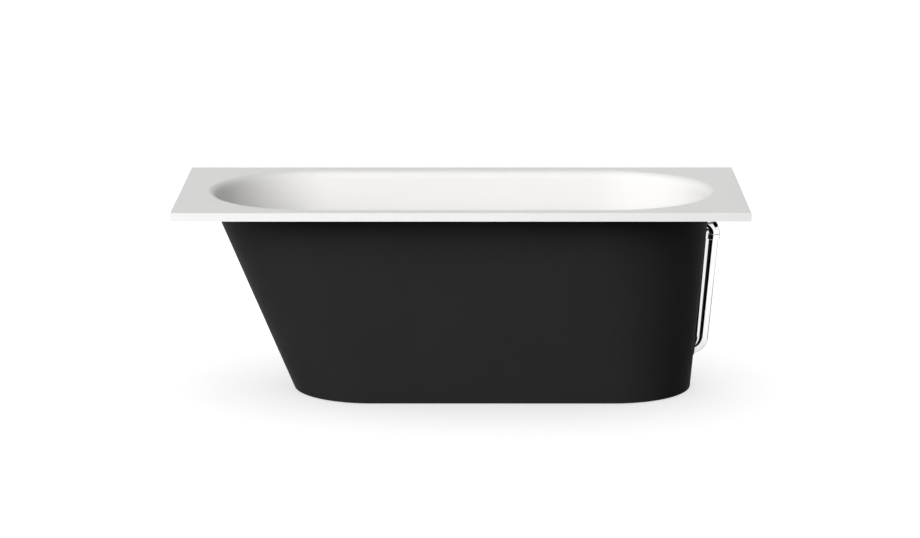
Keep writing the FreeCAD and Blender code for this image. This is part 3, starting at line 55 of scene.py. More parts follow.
Pair = tuple[float, float]
Colour = tuple[float, float, float]
Point = tuple[float, float, float]

# Places that sub-assemblies share, in millimetres, and the lean of the tap end's wall
MAIN_BODY = "tub_body"
HEAD_RAIL_X = -350.485
TAP_RAIL_X = 330.0
DRAIN_X = 530.0
PIPE_HOLE = 20.2
END_LEAN = math.radians(5.1262)
LEAN_COS, LEAN_SIN = math.cos(END_LEAN), math.sin(END_LEAN)

# Sockets of a Mix node that mixes colours, and of a Mix Shader node
MIX_SHARE, MIX_FIRST, MIX_SECOND, MIX_COLOUR = 0, 6, 7, 2
SHADER_FRONT, SHADER_BACK = 1, 2


class Slot(Enum):
    """The record's material slots."""

    SHELL = "white_shell"
    CASING = "black_casing"
    BOARD = "timber_board"
    ZINC = "zinc_steel"
    CHROME = "chrome_plate"
    GREY = "grey_plastic"
    WHITE = "white_plastic"
    RUBBER = "black_rubber"


class Effect(Enum):
    """Shared node groups, by the name of the method that builds each."""

    SMEARS = "smears"
    GRAIN = "grain"
    BRUSHED = "brushed"
    FLAKES = "flakes"
    BLOOM = "bloom"


class Ray(Enum):
    """Which light a studio card takes part in: mirror reflections, or the soft light between surfaces."""

    MIRROR = "glossy"
    SOFT = "diffuse"


class Aim(Enum):
    """What a lamp lights, as the state of the floor in its light linking."""

    FLOOR = "INCLUDE"
    PART = "EXCLUDE"


class Corner(Enum):
    """The four screw feet: end along X, then side along Y."""

    HEAD_FRONT = (-1, -1)
    HEAD_BACK = (-1, 1)
    TAP_FRONT = (1, -1)
    TAP_BACK = (1, 1)

    @property
    def label(self) -> str:
        """The foot's name as the bodies and nodes have it."""
        return self.name.lower()


# Surfaces


def turns(count: int) -> np.ndarray:
    """Even angles round a full turn."""
    return np.arange(count) * TURN / count


def polar(radius: np.ndarray, angle: np.ndarray, height: np.ndarray) -> np.ndarray:
    """Points whose x and y are the radius times the angle's cosine and sine."""
    return np.stack([radius * np.cos(angle), radius * np.sin(angle), height + 0 * angle], axis=-1)


def spun(profile: np.ndarray, count: int) -> np.ndarray:
    """Profile of (radius, height) swung round Z in even steps."""
    return polar(profile[:, :1], turns(count), profile[:, 1:])


def rounded(corners: list[Pair], radius: float | Row, steps: int = 6) -> np.ndarray:
    """Closed outline whose corners are arcs.

    At each corner the arc leaves the side before it at radius times the tangent of half the turn, and runs
    about a centre one radius to the inside, in even steps of the turn.

    Args:
        corners: The outline's corners in order.
        radius: One radius for every corner, or one for each.
        steps: Points on each arc.

    Returns:
        Array of len(corners) * steps points.
    """
    spots = np.array(corners, float)
    size = np.broadcast_to(np.asarray(radius, float), len(spots))[:, None]
    before = spots - np.roll(spots, 1, axis=0)
    after = np.roll(spots, -1, axis=0) - spots
    before /= np.linalg.norm(before, axis=1, keepdims=True)
    after /= np.linalg.norm(after, axis=1, keepdims=True)
    cross = before[:, 0] * after[:, 1] - before[:, 1] * after[:, 0]
    turn = np.arctan2(np.abs(cross), np.sum(before * after, axis=1))[:, None]
    inward = np.sign(cross)[:, None] * np.stack([-before[:, 1], before[:, 0]], axis=1)
    start = spots - before * size * np.tan(turn / 2)
    sweep = turn * np.linspace(0, 1, steps)[None, :]
    along = np.sin(sweep)[..., None] * before[:, None]
    across = (1 - np.cos(sweep))[..., None] * inward[:, None]
    return (start[:, None] + size[:, None] * (along + across)).reshape(-1, 2)


def ribbed(profile: np.ndarray, count: int, ribs: int, depth: float) -> np.ndarray:
    """Swung profile with grip ribs: the outermost radius is drawn in by depth times a rounded wave.

    Args:
        profile: Points of (radius, height).
        count: Steps round the turn.
        ribs: Number of ribs.
        depth: Depth of the hollows between them.

    Returns:
        Grid of points.
    """
    angle = turns(count)
    radius, height = profile[:, :1], profile[:, 1:]
    outside = np.clip((radius - radius.max() + 3 * depth) / (2 * depth), 0, 1)
    wave = (0.5 - 0.5 * np.cos(ribs * angle)) ** 2
    return polar(radius - outside * depth * wave, angle, height)


def hexagon(angle: np.ndarray, corner: float) -> np.ndarray:
    """Distance to a six-sided outline: its flats' distance over the cosine from the nearest flat's middle."""
    return corner * math.cos(math.pi / 6) / np.cos((angle % (math.pi / 3)) - math.pi / 6)


def swept(path: np.ndarray, section: np.ndarray, side: np.ndarray) -> np.ndarray:
    """Section carried along a path in one plane: each row adds the section's width along side and its height
    along the normal, which is side crossed with the path's direction.

    Args:
        path: Points of the path.
        section: Points of (width, height).
        side: Unit vector square to the plane of the path.

    Returns:
        Grid of len(path) by len(section) points.
    """
    direction = np.gradient(path, axis=0)
    direction /= np.linalg.norm(direction, axis=1, keepdims=True)
    normal = np.cross(side[None, :], direction)
    return path[:, None] + section[None, :, :1] * side + section[None, :, 1:] * normal[:, None]


def pillow(size: Point, power: float, rows: int = 24, columns: int = 48) -> np.ndarray:
    """Rounded block: a ball whose sines and cosines are raised to a small power and scaled to the half sizes.

    Args:
        size: Half size along x, y and z.
        power: 1 for a ball, towards 0 for a square block.
        rows: Steps from pole to pole.
        columns: Steps round.

    Returns:
        Grid of points.
    """
    tilt = np.linspace(-math.pi / 2, math.pi / 2, rows)[:, None]
    angle = turns(columns)[None, :]

    def eased(wave: np.ndarray) -> np.ndarray:
        """The wave's size raised to the power, with its sign kept."""
        return np.sign(wave) * np.abs(wave) ** power

    x = size[0] * eased(np.cos(tilt)) * eased(np.cos(angle))
    y = size[1] * eased(np.cos(tilt)) * eased(np.sin(angle))
    z = size[2] * eased(np.sin(tilt)) + 0 * angle
    return np.stack([x, y, z], axis=-1)


@dataclass(frozen=True)
class Place:
    """Where a piece's own axes stand, in millimetres."""

    origin: Point
    x: Point
    y: Point
    z: Point

    def apply(self, points: np.ndarray) -> np.ndarray:
        """Points given on the piece's own axes, moved to the tub's."""
        return points @ np.array([self.x, self.y, self.z], float) + np.array(self.origin, float)


def show(name: str, data: bpy.types.ID) -> Object:
    """New object in the scene for a mesh, lamp or camera.

    Args:
        name: Its name.
        data: What it shows.

    Returns:
        The object.
    """
    piece = bpy.data.objects.new(name, data)
    bpy.context.scene.collection.objects.link(piece)
    return piece


def solid(name: str, grids: list[np.ndarray], loop: bool, crease: float = 35) -> Object:
    """Mesh of one or more closed grids, all in millimetres.

    Columns always close on themselves. Rows close when loop is true, and otherwise end in a pole where the
    last row falls on one point. Points that meet are merged, and faces turned outwards.

    Args:
        name: Piece's name.
        grids: Arrays of rows by columns by three.
        loop: Whether the last row joins the first.
        crease: Angle in degrees above which an edge stays sharp.

    Returns:
        The new object.
    """
    vertices, faces, start = [], [], 0
    for grid in grids:
        rows, columns = grid.shape[:2]
        index = start + np.arange(rows * columns).reshape(rows, columns)
        index = np.concatenate([index, index[:, :1]], axis=1)
        if loop:
            index = np.concatenate([index, index[:1]], axis=0)
        quads = np.stack([index[:-1, :-1], index[:-1, 1:], index[1:, 1:], index[1:, :-1]], axis=-1)
        vertices.append(grid.reshape(-1, 3) * MM)
        faces.append(quads.reshape(-1, 4))
        start += rows * columns
    mesh = bpy.data.meshes.new(name)
    mesh.from_pydata(np.concatenate(vertices), [], np.concatenate(faces))
    work = bmesh.new()
    work.from_mesh(mesh)
    bmesh.ops.remove_doubles(work, verts=work.verts, dist=1e-6)
    bmesh.ops.recalc_face_normals(work, faces=work.faces)
    work.to_mesh(mesh)
    work.free()
    mesh.shade_smooth()
    mesh.set_sharp_from_angle(angle=math.radians(crease))
    return show(name, mesh)


# Shader nodes


@dataclass
class Tree:
    """A node tree with short calls to add and join nodes."""

    nodes: bpy.types.Nodes
    links: bpy.types.NodeLinks

    def put(self, socket: NodeSocket, value: object) -> None:
        """Sets an input to a value, or links it to another node.

        Args:
            socket: The input.
            value: Plain value, or an output's socket.
        """
        if isinstance(value, NodeSocket):
            self.links.new(value, socket)
        else:
            socket.default_value = value

    def add(self, kind: str, group: NodeTree | None = None, **inputs: object) -> Node:
        """Adds a node.

        Args:
            kind: Node type without its ShaderNode prefix.
            group: Shared effect, where the node shows one.
            inputs: Values or sockets for its inputs, with _ for each space in a name.

        Returns:
            The node.
        """
        node = self.nodes.new(f"ShaderNode{kind}")
        if group is not None:
            node.node_tree = group
        for name, value in inputs.items():
            self.put(node.inputs[name.replace("_", " ")], value)
        return node

    def noise(self, vector: NodeSocket, scale: object, **inputs: float) -> NodeSocket:
        """Value of a noise texture."""
        return self.add("TexNoise", Vector=vector, Scale=scale, **inputs).outputs[0]

    def ranged(self, value: NodeSocket, **limits: object) -> NodeSocket:
        """Value carried from one range to another, from 0 to 1 where a limit isn't given."""
        return self.add("MapRange", Value=value, **limits).outputs[0]

    def sum(self, operation: str, first: object, second: object) -> NodeSocket:
        """One arithmetic step.

        Args:
            operation: Its name in Blender.
            first: Value or socket.
            second: Value or socket.

        Returns:
            The result's socket.
        """
        node = self.nodes.new("ShaderNodeMath")
        node.operation = operation
        self.put(node.inputs[0], first)
        self.put(node.inputs[1], second)
        return node.outputs[0]

    def average(self, first: NodeSocket, second: NodeSocket, share: float) -> NodeSocket:
        """Sum of the first value's share and the rest from the second."""
        return self.sum("ADD", self.sum("MULTIPLY", first, share), self.sum("MULTIPLY", second, 1 - share))

    def blend(self, share: NodeSocket, first: Colour, second: Colour) -> NodeSocket:
        """Colour between two, by a share that changes over the surface.

        Args:
            share: Socket from 0 to 1.
            first: Colour at 0.
            second: Colour at 1.

        Returns:
            The colour's socket.
        """
        mix = self.nodes.new("ShaderNodeMix")
        mix.data_type = "RGBA"
        for index, value in ((MIX_SHARE, share), (MIX_FIRST, (*first, 1)), (MIX_SECOND, (*second, 1))):
            self.put(mix.inputs[index], value)
        return mix.outputs[MIX_COLOUR]

    def seen(self) -> NodeSocket:
        """Tells rays that show a surface from soft light.

        Returns:
            Socket of 1 for rays of the camera, mirrors and glass, and 0 for others.
        """
        path = self.add("LightPath").outputs
        mirrored = self.sum("MAXIMUM", path["Is Camera Ray"], path["Is Glossy Ray"])
        return self.sum("MAXIMUM", mirrored, path["Is Transmission Ray"])

    def face(self, shader: NodeSocket) -> None:
        """Makes a material show a shader from its front, and nothing from behind.

        Args:
            shader: What its front shows.
        """
        self.nodes.remove(self.nodes["Principled BSDF"])
        mix = self.add("MixShader", Fac=self.add("NewGeometry").outputs["Backfacing"])
        self.put(mix.inputs[SHADER_FRONT], shader)
        self.put(mix.inputs[SHADER_BACK], self.add("BsdfTransparent").outputs[0])
        self.put(self.nodes["Material Output"].inputs["Surface"], mix.outputs[0])


def new_material(name: str) -> tuple[Material, Tree]:
    """Opens a material.

    Args:
        name: Its name.

    Returns:
        The material and its node tree.
    """
    material = bpy.data.materials.new(name)
    material.use_nodes = True
    return material, Tree(material.node_tree.nodes, material.node_tree.links)


@dataclass
class Effects:
    """Node groups that several finishes share, each built when it is first asked for."""

    groups: dict[Effect, NodeTree] = field(default_factory=dict)
    fine_smears: float = 7.0
    wide_share: float = 0.7
    pebble_noise: float = 0.5
    line_stretch: Point = (1, 0.02, 1)
    chip_stretch: Point = (0.45, 1, 1.6)
    chip_bend: Point = (0.006, 0.006, 0.006)
    bend_scale: float = 40.0
    fibres: float = 9.0
    chip_share: float = 0.6
    veil_scale: float = 45.0
    crystal_share: float = 0.5

    def get(self, effect: Effect) -> NodeTree:
        """Finds or builds a node group.

        Args:
            effect: Which effect.

        Returns:
            Its group.
        """
        if effect not in self.groups:
            getattr(self, effect.value)()
        return self.groups[effect]

    def start(self, effect: Effect, outputs: Names,
              **inputs: float) -> tuple[Tree, dict[str, NodeSocket], bpy.types.NodeInputs]:
        """Opens a new group with a vector input and the named float sockets.

        Args:
            effect: Which effect.
            outputs: Names of its outputs.
            inputs: Its other inputs and their values.

        Returns:
            Its tree, what it is given by name, and the sockets that it puts out.
        """
        group = bpy.data.node_groups.new(effect.value, "ShaderNodeTree")
        group.interface.new_socket("Vector", in_out="INPUT", socket_type="NodeSocketVector")
        for name, value in inputs.items():
            socket = group.interface.new_socket(name, in_out="INPUT", socket_type="NodeSocketFloat")
            socket.default_value = value
        for name in outputs:
            group.interface.new_socket(name, in_out="OUTPUT", socket_type="NodeSocketFloat")
        self.groups[effect] = group
        entry = group.nodes.new("NodeGroupInput")
        leave = group.nodes.new("NodeGroupOutput")
        return Tree(group.nodes, group.links), {socket.name: socket for socket in entry.outputs}, leave.inputs

    def smears(self) -> None:
        """Slow cloudy change from wiping and handling: two sizes of noise, spread between Low and High."""
        tree, given, out = self.start(Effect.SMEARS, ("Value", "Mask"), Scale=6, Low=0, High=1)
        finer = tree.sum("MULTIPLY", given["Scale"], self.fine_smears)
        wide = tree.noise(given["Vector"], given["Scale"], Detail=4.0, Roughness=0.55)
        fine = tree.noise(given["Vector"], finer, Detail=2.0)
        mask = tree.ranged(tree.average(wide, fine, self.wide_share), From_Min=0.3, From_Max=0.7)
        tree.put(out["Mask"], mask)
        tree.put(out["Value"], tree.ranged(mask, To_Min=given["Low"], To_Max=given["High"]))

    def grain(self) -> None:
        """Fine pebble of a moulded or sprayed face: rounded cells softened with noise."""
        tree, given, out = self.start(Effect.GRAIN, ("Height",), Scale=900)
        cells = tree.add("TexVoronoi", Vector=given["Vector"], Scale=given["Scale"])
        cells.feature = "SMOOTH_F1"
        coarser = tree.sum("MULTIPLY", given["Scale"], self.pebble_noise)
        noise = tree.noise(given["Vector"], coarser, Detail=3.0)
        tree.put(out["Height"], tree.sum("MULTIPLY", cells.outputs[0], noise))

    def brushed(self) -> None:
        """Fine drawn lines along X: noise stretched along the line."""
        tree, given, out = self.start(Effect.BRUSHED, ("Height",), Scale=700)
        stretch = tree.add("Mapping", Vector=given["Vector"], Scale=self.line_stretch).outputs[0]
        tree.put(out["Height"], tree.noise(stretch, given["Scale"], Detail=3.0))

    def flakes(self) -> None:
        """Pressed wood: long flat chips, each its own tone, with fine fibres along them."""
        tree, given, out = self.start(Effect.FLAKES, ("Tone", "Height"), Scale=160)
        stretch = tree.add("Mapping", Vector=given["Vector"], Scale=self.chip_stretch).outputs[0]
        bend = tree.add("TexNoise", Vector=given["Vector"], Scale=self.bend_scale, Detail=2.0)
        warped = tree.add("VectorMath")
        warped.operation = "MULTIPLY_ADD"
        for socket, value in zip(warped.inputs, (bend.outputs["Color"], self.chip_bend, stretch)):
            tree.put(socket, value)
        chips = tree.add("TexVoronoi", Vector=warped.outputs[0], Scale=given["Scale"])
        finer = tree.sum("MULTIPLY", given["Scale"], self.fibres)
        fibres = tree.noise(warped.outputs[0], finer, Detail=4.0)
        chip = tree.add("SeparateColor", Color=chips.outputs["Color"]).outputs[0]
        tree.put(out["Tone"], tree.average(chip, fibres, self.chip_share))
        tree.put(out["Height"], fibres)

    def bloom(self) -> None:
        """Zinc's crystal bloom: flat cells of slightly different tone under a dull veil."""
        tree, given, out = self.start(Effect.BLOOM, ("Tone",), Scale=240)
        cells = tree.add("TexVoronoi", Vector=given["Vector"], Scale=given["Scale"])
        crystal = tree.add("SeparateColor", Color=cells.outputs["Color"]).outputs[0]
        veil = tree.noise(given["Vector"], self.veil_scale, Detail=5.0)
        tree.put(out["Tone"], tree.average(crystal, veil, self.crystal_share))


# Finishes


@dataclass(frozen=True)
class Texture:
    """A shared effect at one scale, and the relief that its height gives: strength, and depth in metres."""

    effect: Effect
    scale: float
    strength: float = 0.0
    depth: float = 0.0


def pebble(scale: float, depth: float, strength: float = 0.35) -> Texture:
    """Fine pebble of a moulded or sprayed face."""
    return Texture(Effect.GRAIN, scale, strength, depth)


@dataclass(frozen=True)
class Finish:
    """What finishes share: two near tones, a shine clouded by wiping, and a fine relief.

    The tones follow the cloud, or an effect of their own where tone names one.
    """

    name: str
    light: Colour
    dark: Colour
    shine: Pair
    cloud: float
    relief: Texture
    tone: Texture | None = None
    metallic: float = 0
    specular: float = 0.5

    def material(self, effects: Effects) -> Material:
        """Builds the finish.

        Args:
            effects: Shared node groups.

        Returns:
            The material.
        """
        material, tree = new_material(self.name)
        spot = tree.add("TexCoord").outputs["Object"]
        low, high = self.shine
        wiped = effects.get(Effect.SMEARS)
        smears = tree.add("Group", wiped, Vector=spot, Scale=self.cloud, Low=low, High=high).outputs
        share, relief = smears["Mask"], self.relief
        if self.tone:
            toned = effects.get(self.tone.effect)
            share = tree.add("Group", toned, Vector=spot, Scale=self.tone.scale).outputs["Tone"]
        raised = effects.get(relief.effect)
        height = tree.add("Group", raised, Vector=spot, Scale=relief.scale).outputs["Height"]
        bump = tree.add("Bump", Strength=relief.strength, Distance=relief.depth, Height=height)
        looks = {"Metallic": self.metallic, "Specular IOR Level": self.specular, "Roughness": smears["Value"],
                 "Base Color": tree.blend(share, self.light, self.dark), "Normal": bump.outputs[0]}
        for name, value in looks.items():
            tree.put(tree.nodes["Principled BSDF"].inputs[name], value)
        return material


@dataclass(frozen=True)
class Moulded(Finish):
    """Moulded or sprayed plastic and rubber: cloudy shine and a fine pebble."""


@dataclass(frozen=True)
class Plated(Finish):
    """Polished chrome: bright metal with a faint haze of wiping marks and hairlines."""

    cloud: float = 22
    relief: Texture = Texture(Effect.BRUSHED, 1500, 0.02, 0.00002)
    metallic: float = 1


@dataclass(frozen=True)
class Galvanised(Finish):
    """Zinc-plated steel: crystal bloom, drawn lines and a dull shine."""

    cloud: float = 18
    relief: Texture = Texture(Effect.BRUSHED, 900, 0.15, 0.0001)
    tone: Texture = Texture(Effect.BLOOM, 260)
    metallic: float = 1


@dataclass(frozen=True)
class CoatedBoard(Finish):
    """Pressed-wood board under a pale coat of resin: its chips show as soft tones and a slight relief."""

    cloud: float = 9
    relief: Texture = Texture(Effect.FLAKES, 170, 0.4, 0.0003)
    tone: Texture = Texture(Effect.FLAKES, 170)
    specular: float = 0.3


FINISHES = {
    Slot.SHELL: Moulded("satin_white_acrylic", (0.88, 0.874, 0.866), (0.865, 0.858, 0.849), (0.36, 0.44),
                        cloud=3, relief=pebble(260, 0.00002), specular=0.1),
    Slot.CASING: Moulded("satin_black_casing", (0.0232, 0.0232, 0.0232), (0.0213, 0.0213, 0.0214),
                         (0.46, 0.56), cloud=4, relief=pebble(1100, 0.00006), specular=0.01),
    Slot.BOARD: CoatedBoard("resin_coated_board", (0.74, 0.73, 0.68), (0.62, 0.61, 0.56), (0.42, 0.58)),
    Slot.ZINC: Galvanised("zinc_plated_steel", (0.68, 0.69, 0.7), (0.5, 0.51, 0.54), (0.26, 0.42)),
    Slot.CHROME: Plated("polished_chrome", (0.9, 0.905, 0.915), (0.85, 0.855, 0.87), (0.03, 0.08)),
    Slot.GREY: Moulded("grey_moulding", (0.36, 0.37, 0.38), (0.3, 0.31, 0.32), (0.42, 0.55),
                       cloud=14, relief=pebble(1500, 0.00006), specular=0.4),
    Slot.WHITE: Moulded("white_moulding", (0.8, 0.8, 0.785), (0.74, 0.74, 0.725), (0.34, 0.46),
                        cloud=14, relief=pebble(1500, 0.00005), specular=0.45),
    Slot.RUBBER: Moulded("black_rubber", (0.03, 0.03, 0.031), (0.016, 0.016, 0.017), (0.55, 0.72),
                         cloud=20, relief=pebble(1300, 0.0001), specular=0.35),
}


@dataclass
class Workshop:
    """Holds the finished materials and puts them on nodes and new pieces."""

    materials: dict[Slot, Material] = field(default_factory=dict)
    slots: dict[str, Slot] = field(default_factory=dict)

    def open(self) -> None:
        """Makes every finish once and reads which node has which slot."""
        effects = Effects()
        self.materials = {slot: finish.material(effects) for slot, finish in FINISHES.items()}
        self.slots = {row["node"]: Slot(row["material_slot"]) for row in frame["record"]["subparts"]}

    def dress(self, node: str) -> None:
        """Gives a CAD node that stays the finish of its slot.

        Args:
            node: Its name.
        """
        target = frame["nodes"][node].data
        target.materials.clear()
        target.materials.append(self.materials[self.slots[node]])
        log.info("kept %s as %s", node, self.slots[node].value)

    def fit(self, piece: Object, body: str, node: str) -> None:
        """Puts a new piece on its body in place of the node that it stands for, in that node's finish.

        Args:
            piece: New object.
            body: Body that it moves with.
            node: Node that it replaces.
        """
        slot = self.slots[node]
        piece.data.materials.append(self.materials[slot])
        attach(piece, body)
        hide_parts(node)
        log.info("made %s for %s on %s", piece.name, node, body)


# Sub-assemblies, sizes in millimetres: each new piece comes with its body and the node that it stands for
Fitted = tuple[Object, str, str]


@dataclass
class Assembly:
    """A sub-assembly: the CAD nodes that it keeps as they are, and the new pieces that it makes."""

    kept: Names = ()

    def pieces(self) -> list[Fitted]:
        """Each new piece with its body and the node that it stands for."""
        return []

    def build(self, workshop: Workshop) -> None:
        """Dresses the nodes that stay and fits the new pieces.

        Args:
            workshop: Holder of the materials.
        """
        for node in self.kept:
            workshop.dress(node)
        for piece, body, node in self.pieces():
            workshop.fit(piece, body, node)


@dataclass
class Shell(Assembly):
    """White tub with its folded rim, and the boards that stiffen the rim from below."""

    kept: Names = ("tub", "rim_board_front", "rim_board_back", "rim_board_head", "rim_board_tap")


@dataclass(frozen=True)
class Screw:
    """Screw pointing up with a domed head below. Shares are of the head's radius or height."""

    shank: float
    head: float
    tall: float
    length: float
    columns: int = 48
    head_rows: int = 15
    edge_share: float = 0.55
    dome_share: float = 0.45
    dome_reach: float = 0.98
    arm_share: float = 0.6
    slot_share: float = 0.15
    slot_width: float = 1.6
    recess_share: float = 0.6
    point: float = 1.5

    def grid(self, place: Point) -> np.ndarray:
        """Rows from the head's middle out, round its edge and up the shank.

        The head's face is a shallow dome, less a cross-shaped recess whose four arms fade out at their ends;
        the shank ends in a cone.

        Args:
            place: Point where the head meets what it holds.

        Returns:
            Grid of points.
        """
        angle = turns(self.columns)
        reach = np.linspace(0, 1, self.head_rows)[:, None] * self.head
        curve = np.sqrt(1 - (reach / self.head) ** 2 * self.dome_reach)
        dome = self.tall * (self.edge_share + self.dome_share * curve)
        x, y = reach * np.cos(angle), reach * np.sin(angle)
        arm, slot = self.head * self.arm_share, self.head * self.slot_share

        def trough(along: np.ndarray, across: np.ndarray) -> np.ndarray:
            """One bar of the cross, 1 inside and 0 outside."""
            inside = np.clip((arm - np.abs(along)) / slot, 0, 1)
            return inside * np.clip((slot * self.slot_width - np.abs(across)) / slot, 0, 1)

        recess = self.recess_share * self.tall * np.maximum(trough(x, y), trough(y, x))
        face = np.stack([x, y, recess - dome + 0 * angle], axis=-1)
        stem = np.array([(self.head, 0.0), (self.shank, 0.0),
                         (self.shank, self.length - self.shank * self.point), (0.0, self.length)])
        return np.concatenate([face, spun(stem, self.columns)]) + np.array(place)


@dataclass
class Casing(Assembly):
    """Dark oval casing, the rubber where the pipe passes it, and the screws of its flange."""

    kept: Names = ("outer_casing", "pipe_grommet")
    screw: Screw = Screw(1.9, 3.6, 2.5, 17.0)
    screw_reach: float = 420.3
    screw_line: float = 341.13
    shares: Row = (-1, -1 / 3, 1 / 3, 1)
    end_screws: Pair = (-786.089, 778.243)
    flange_under: float = 581.0

    def screws(self) -> Object:
        """Four screws on each long side and one at each end, heads under the flange.

        Returns:
            The new object.
        """
        spots = [(self.screw_reach * share, side * self.screw_line)
                 for side in (-1, 1) for share in self.shares]
        spots += [(along, 0) for along in self.end_screws]
        grids = [self.screw.grid((*spot, self.flange_under)) for spot in spots]
        return solid("casing_screw_set", grids, False)

    def pieces(self) -> list[Fitted]:
        """The screws."""
        return [(self.screws(), MAIN_BODY, "casing_screws")]


@dataclass
class Underframe(Assembly):
    """Board under the bowl's floor and the two cross rails with their caps and screws."""

    kept: Names = ("base_board",)
    rails: tuple[tuple[str, float], ...] = (("head_rail", HEAD_RAIL_X), ("tap_rail", TAP_RAIL_X))
    half: float = 15.0
    wall: float = 2.0
    corner: float = 3.5
    inner_corner: float = 1.5
    corner_steps: int = 8
    end_edge: float = 0.4
    edge_share: float = 0.985
    under: float = 109.0
    half_length: float = 205.398
    cap_rows: tuple[Pair, ...] = ((0, 0), (1, 0), (1, 1.8), (0.985, 2.5), (0.95, 2.9), (0.9, 3), (0.4, 3),
                                  (0, 3))
    screw: Screw = Screw(2.5, 5.0, 2.5, 48.0)
    screw_line: float = 90.036

    def square(self, half: float, radius: float) -> np.ndarray:
        """Outline of a square with rounded corners, as (width, height)."""
        corners = [(-half, -half), (half, -half), (half, half), (-half, half)]
        return rounded(corners, radius, self.corner_steps)

    def ring(self, line: np.ndarray, x: float, y: float) -> np.ndarray:
        """An outline at its place on a rail, width along X and height along Z."""
        return np.stack([line[:, 0] + x, 0 * line[:, 0] + y, line[:, 1] + self.under + self.half], axis=1)

    def rail(self, name: str, x: float) -> Object:
        """Square tube with rounded corners: the outline goes along Y outside and comes back inside.

        Args:
            name: Name of the node that it stands for.
            x: Its place.

        Returns:
            The new object.
        """
        outer = self.square(self.half, self.corner)
        inner = self.square(self.half - self.wall, self.inner_corner)
        soft, end = outer * self.edge_share, self.half_length
        rows = [(outer, self.end_edge - end), (outer, end - self.end_edge), (soft, end), (inner, end),
                (inner, -end), (soft, -end)]
        return solid(f"square_tube_{name}", [np.stack([self.ring(line, x, y) for line, y in rows])], True)

    def caps(self) -> Object:
        """Pressed-in plastic caps: the tube's outline drawn in towards the cap's face in a soft edge.

        Returns:
            The new object.
        """
        line = self.square(self.half, self.corner)
        grids = [np.stack([self.ring(line * share, x, side * (self.half_length + out))
                           for share, out in self.cap_rows]) for _, x in self.rails for side in (-1, 1)]
        return solid("tube_end_caps", grids, False)

    def screws(self) -> Object:
        """Two screws up through each rail into the board.

        Returns:
            The new object.
        """
        grids = [self.screw.grid((x, side * self.screw_line, self.under))
                 for _, x in self.rails for side in (-1, 1)]
        return solid("rail_screw_set", grids, False)

    def pieces(self) -> list[Fitted]:
        """The rails, their caps and their screws."""
        return [*((self.rail(name, x), MAIN_BODY, name) for name, x in self.rails),
                (self.caps(), MAIN_BODY, "rail_end_caps"), (self.screws(), MAIN_BODY, "rail_screws")]


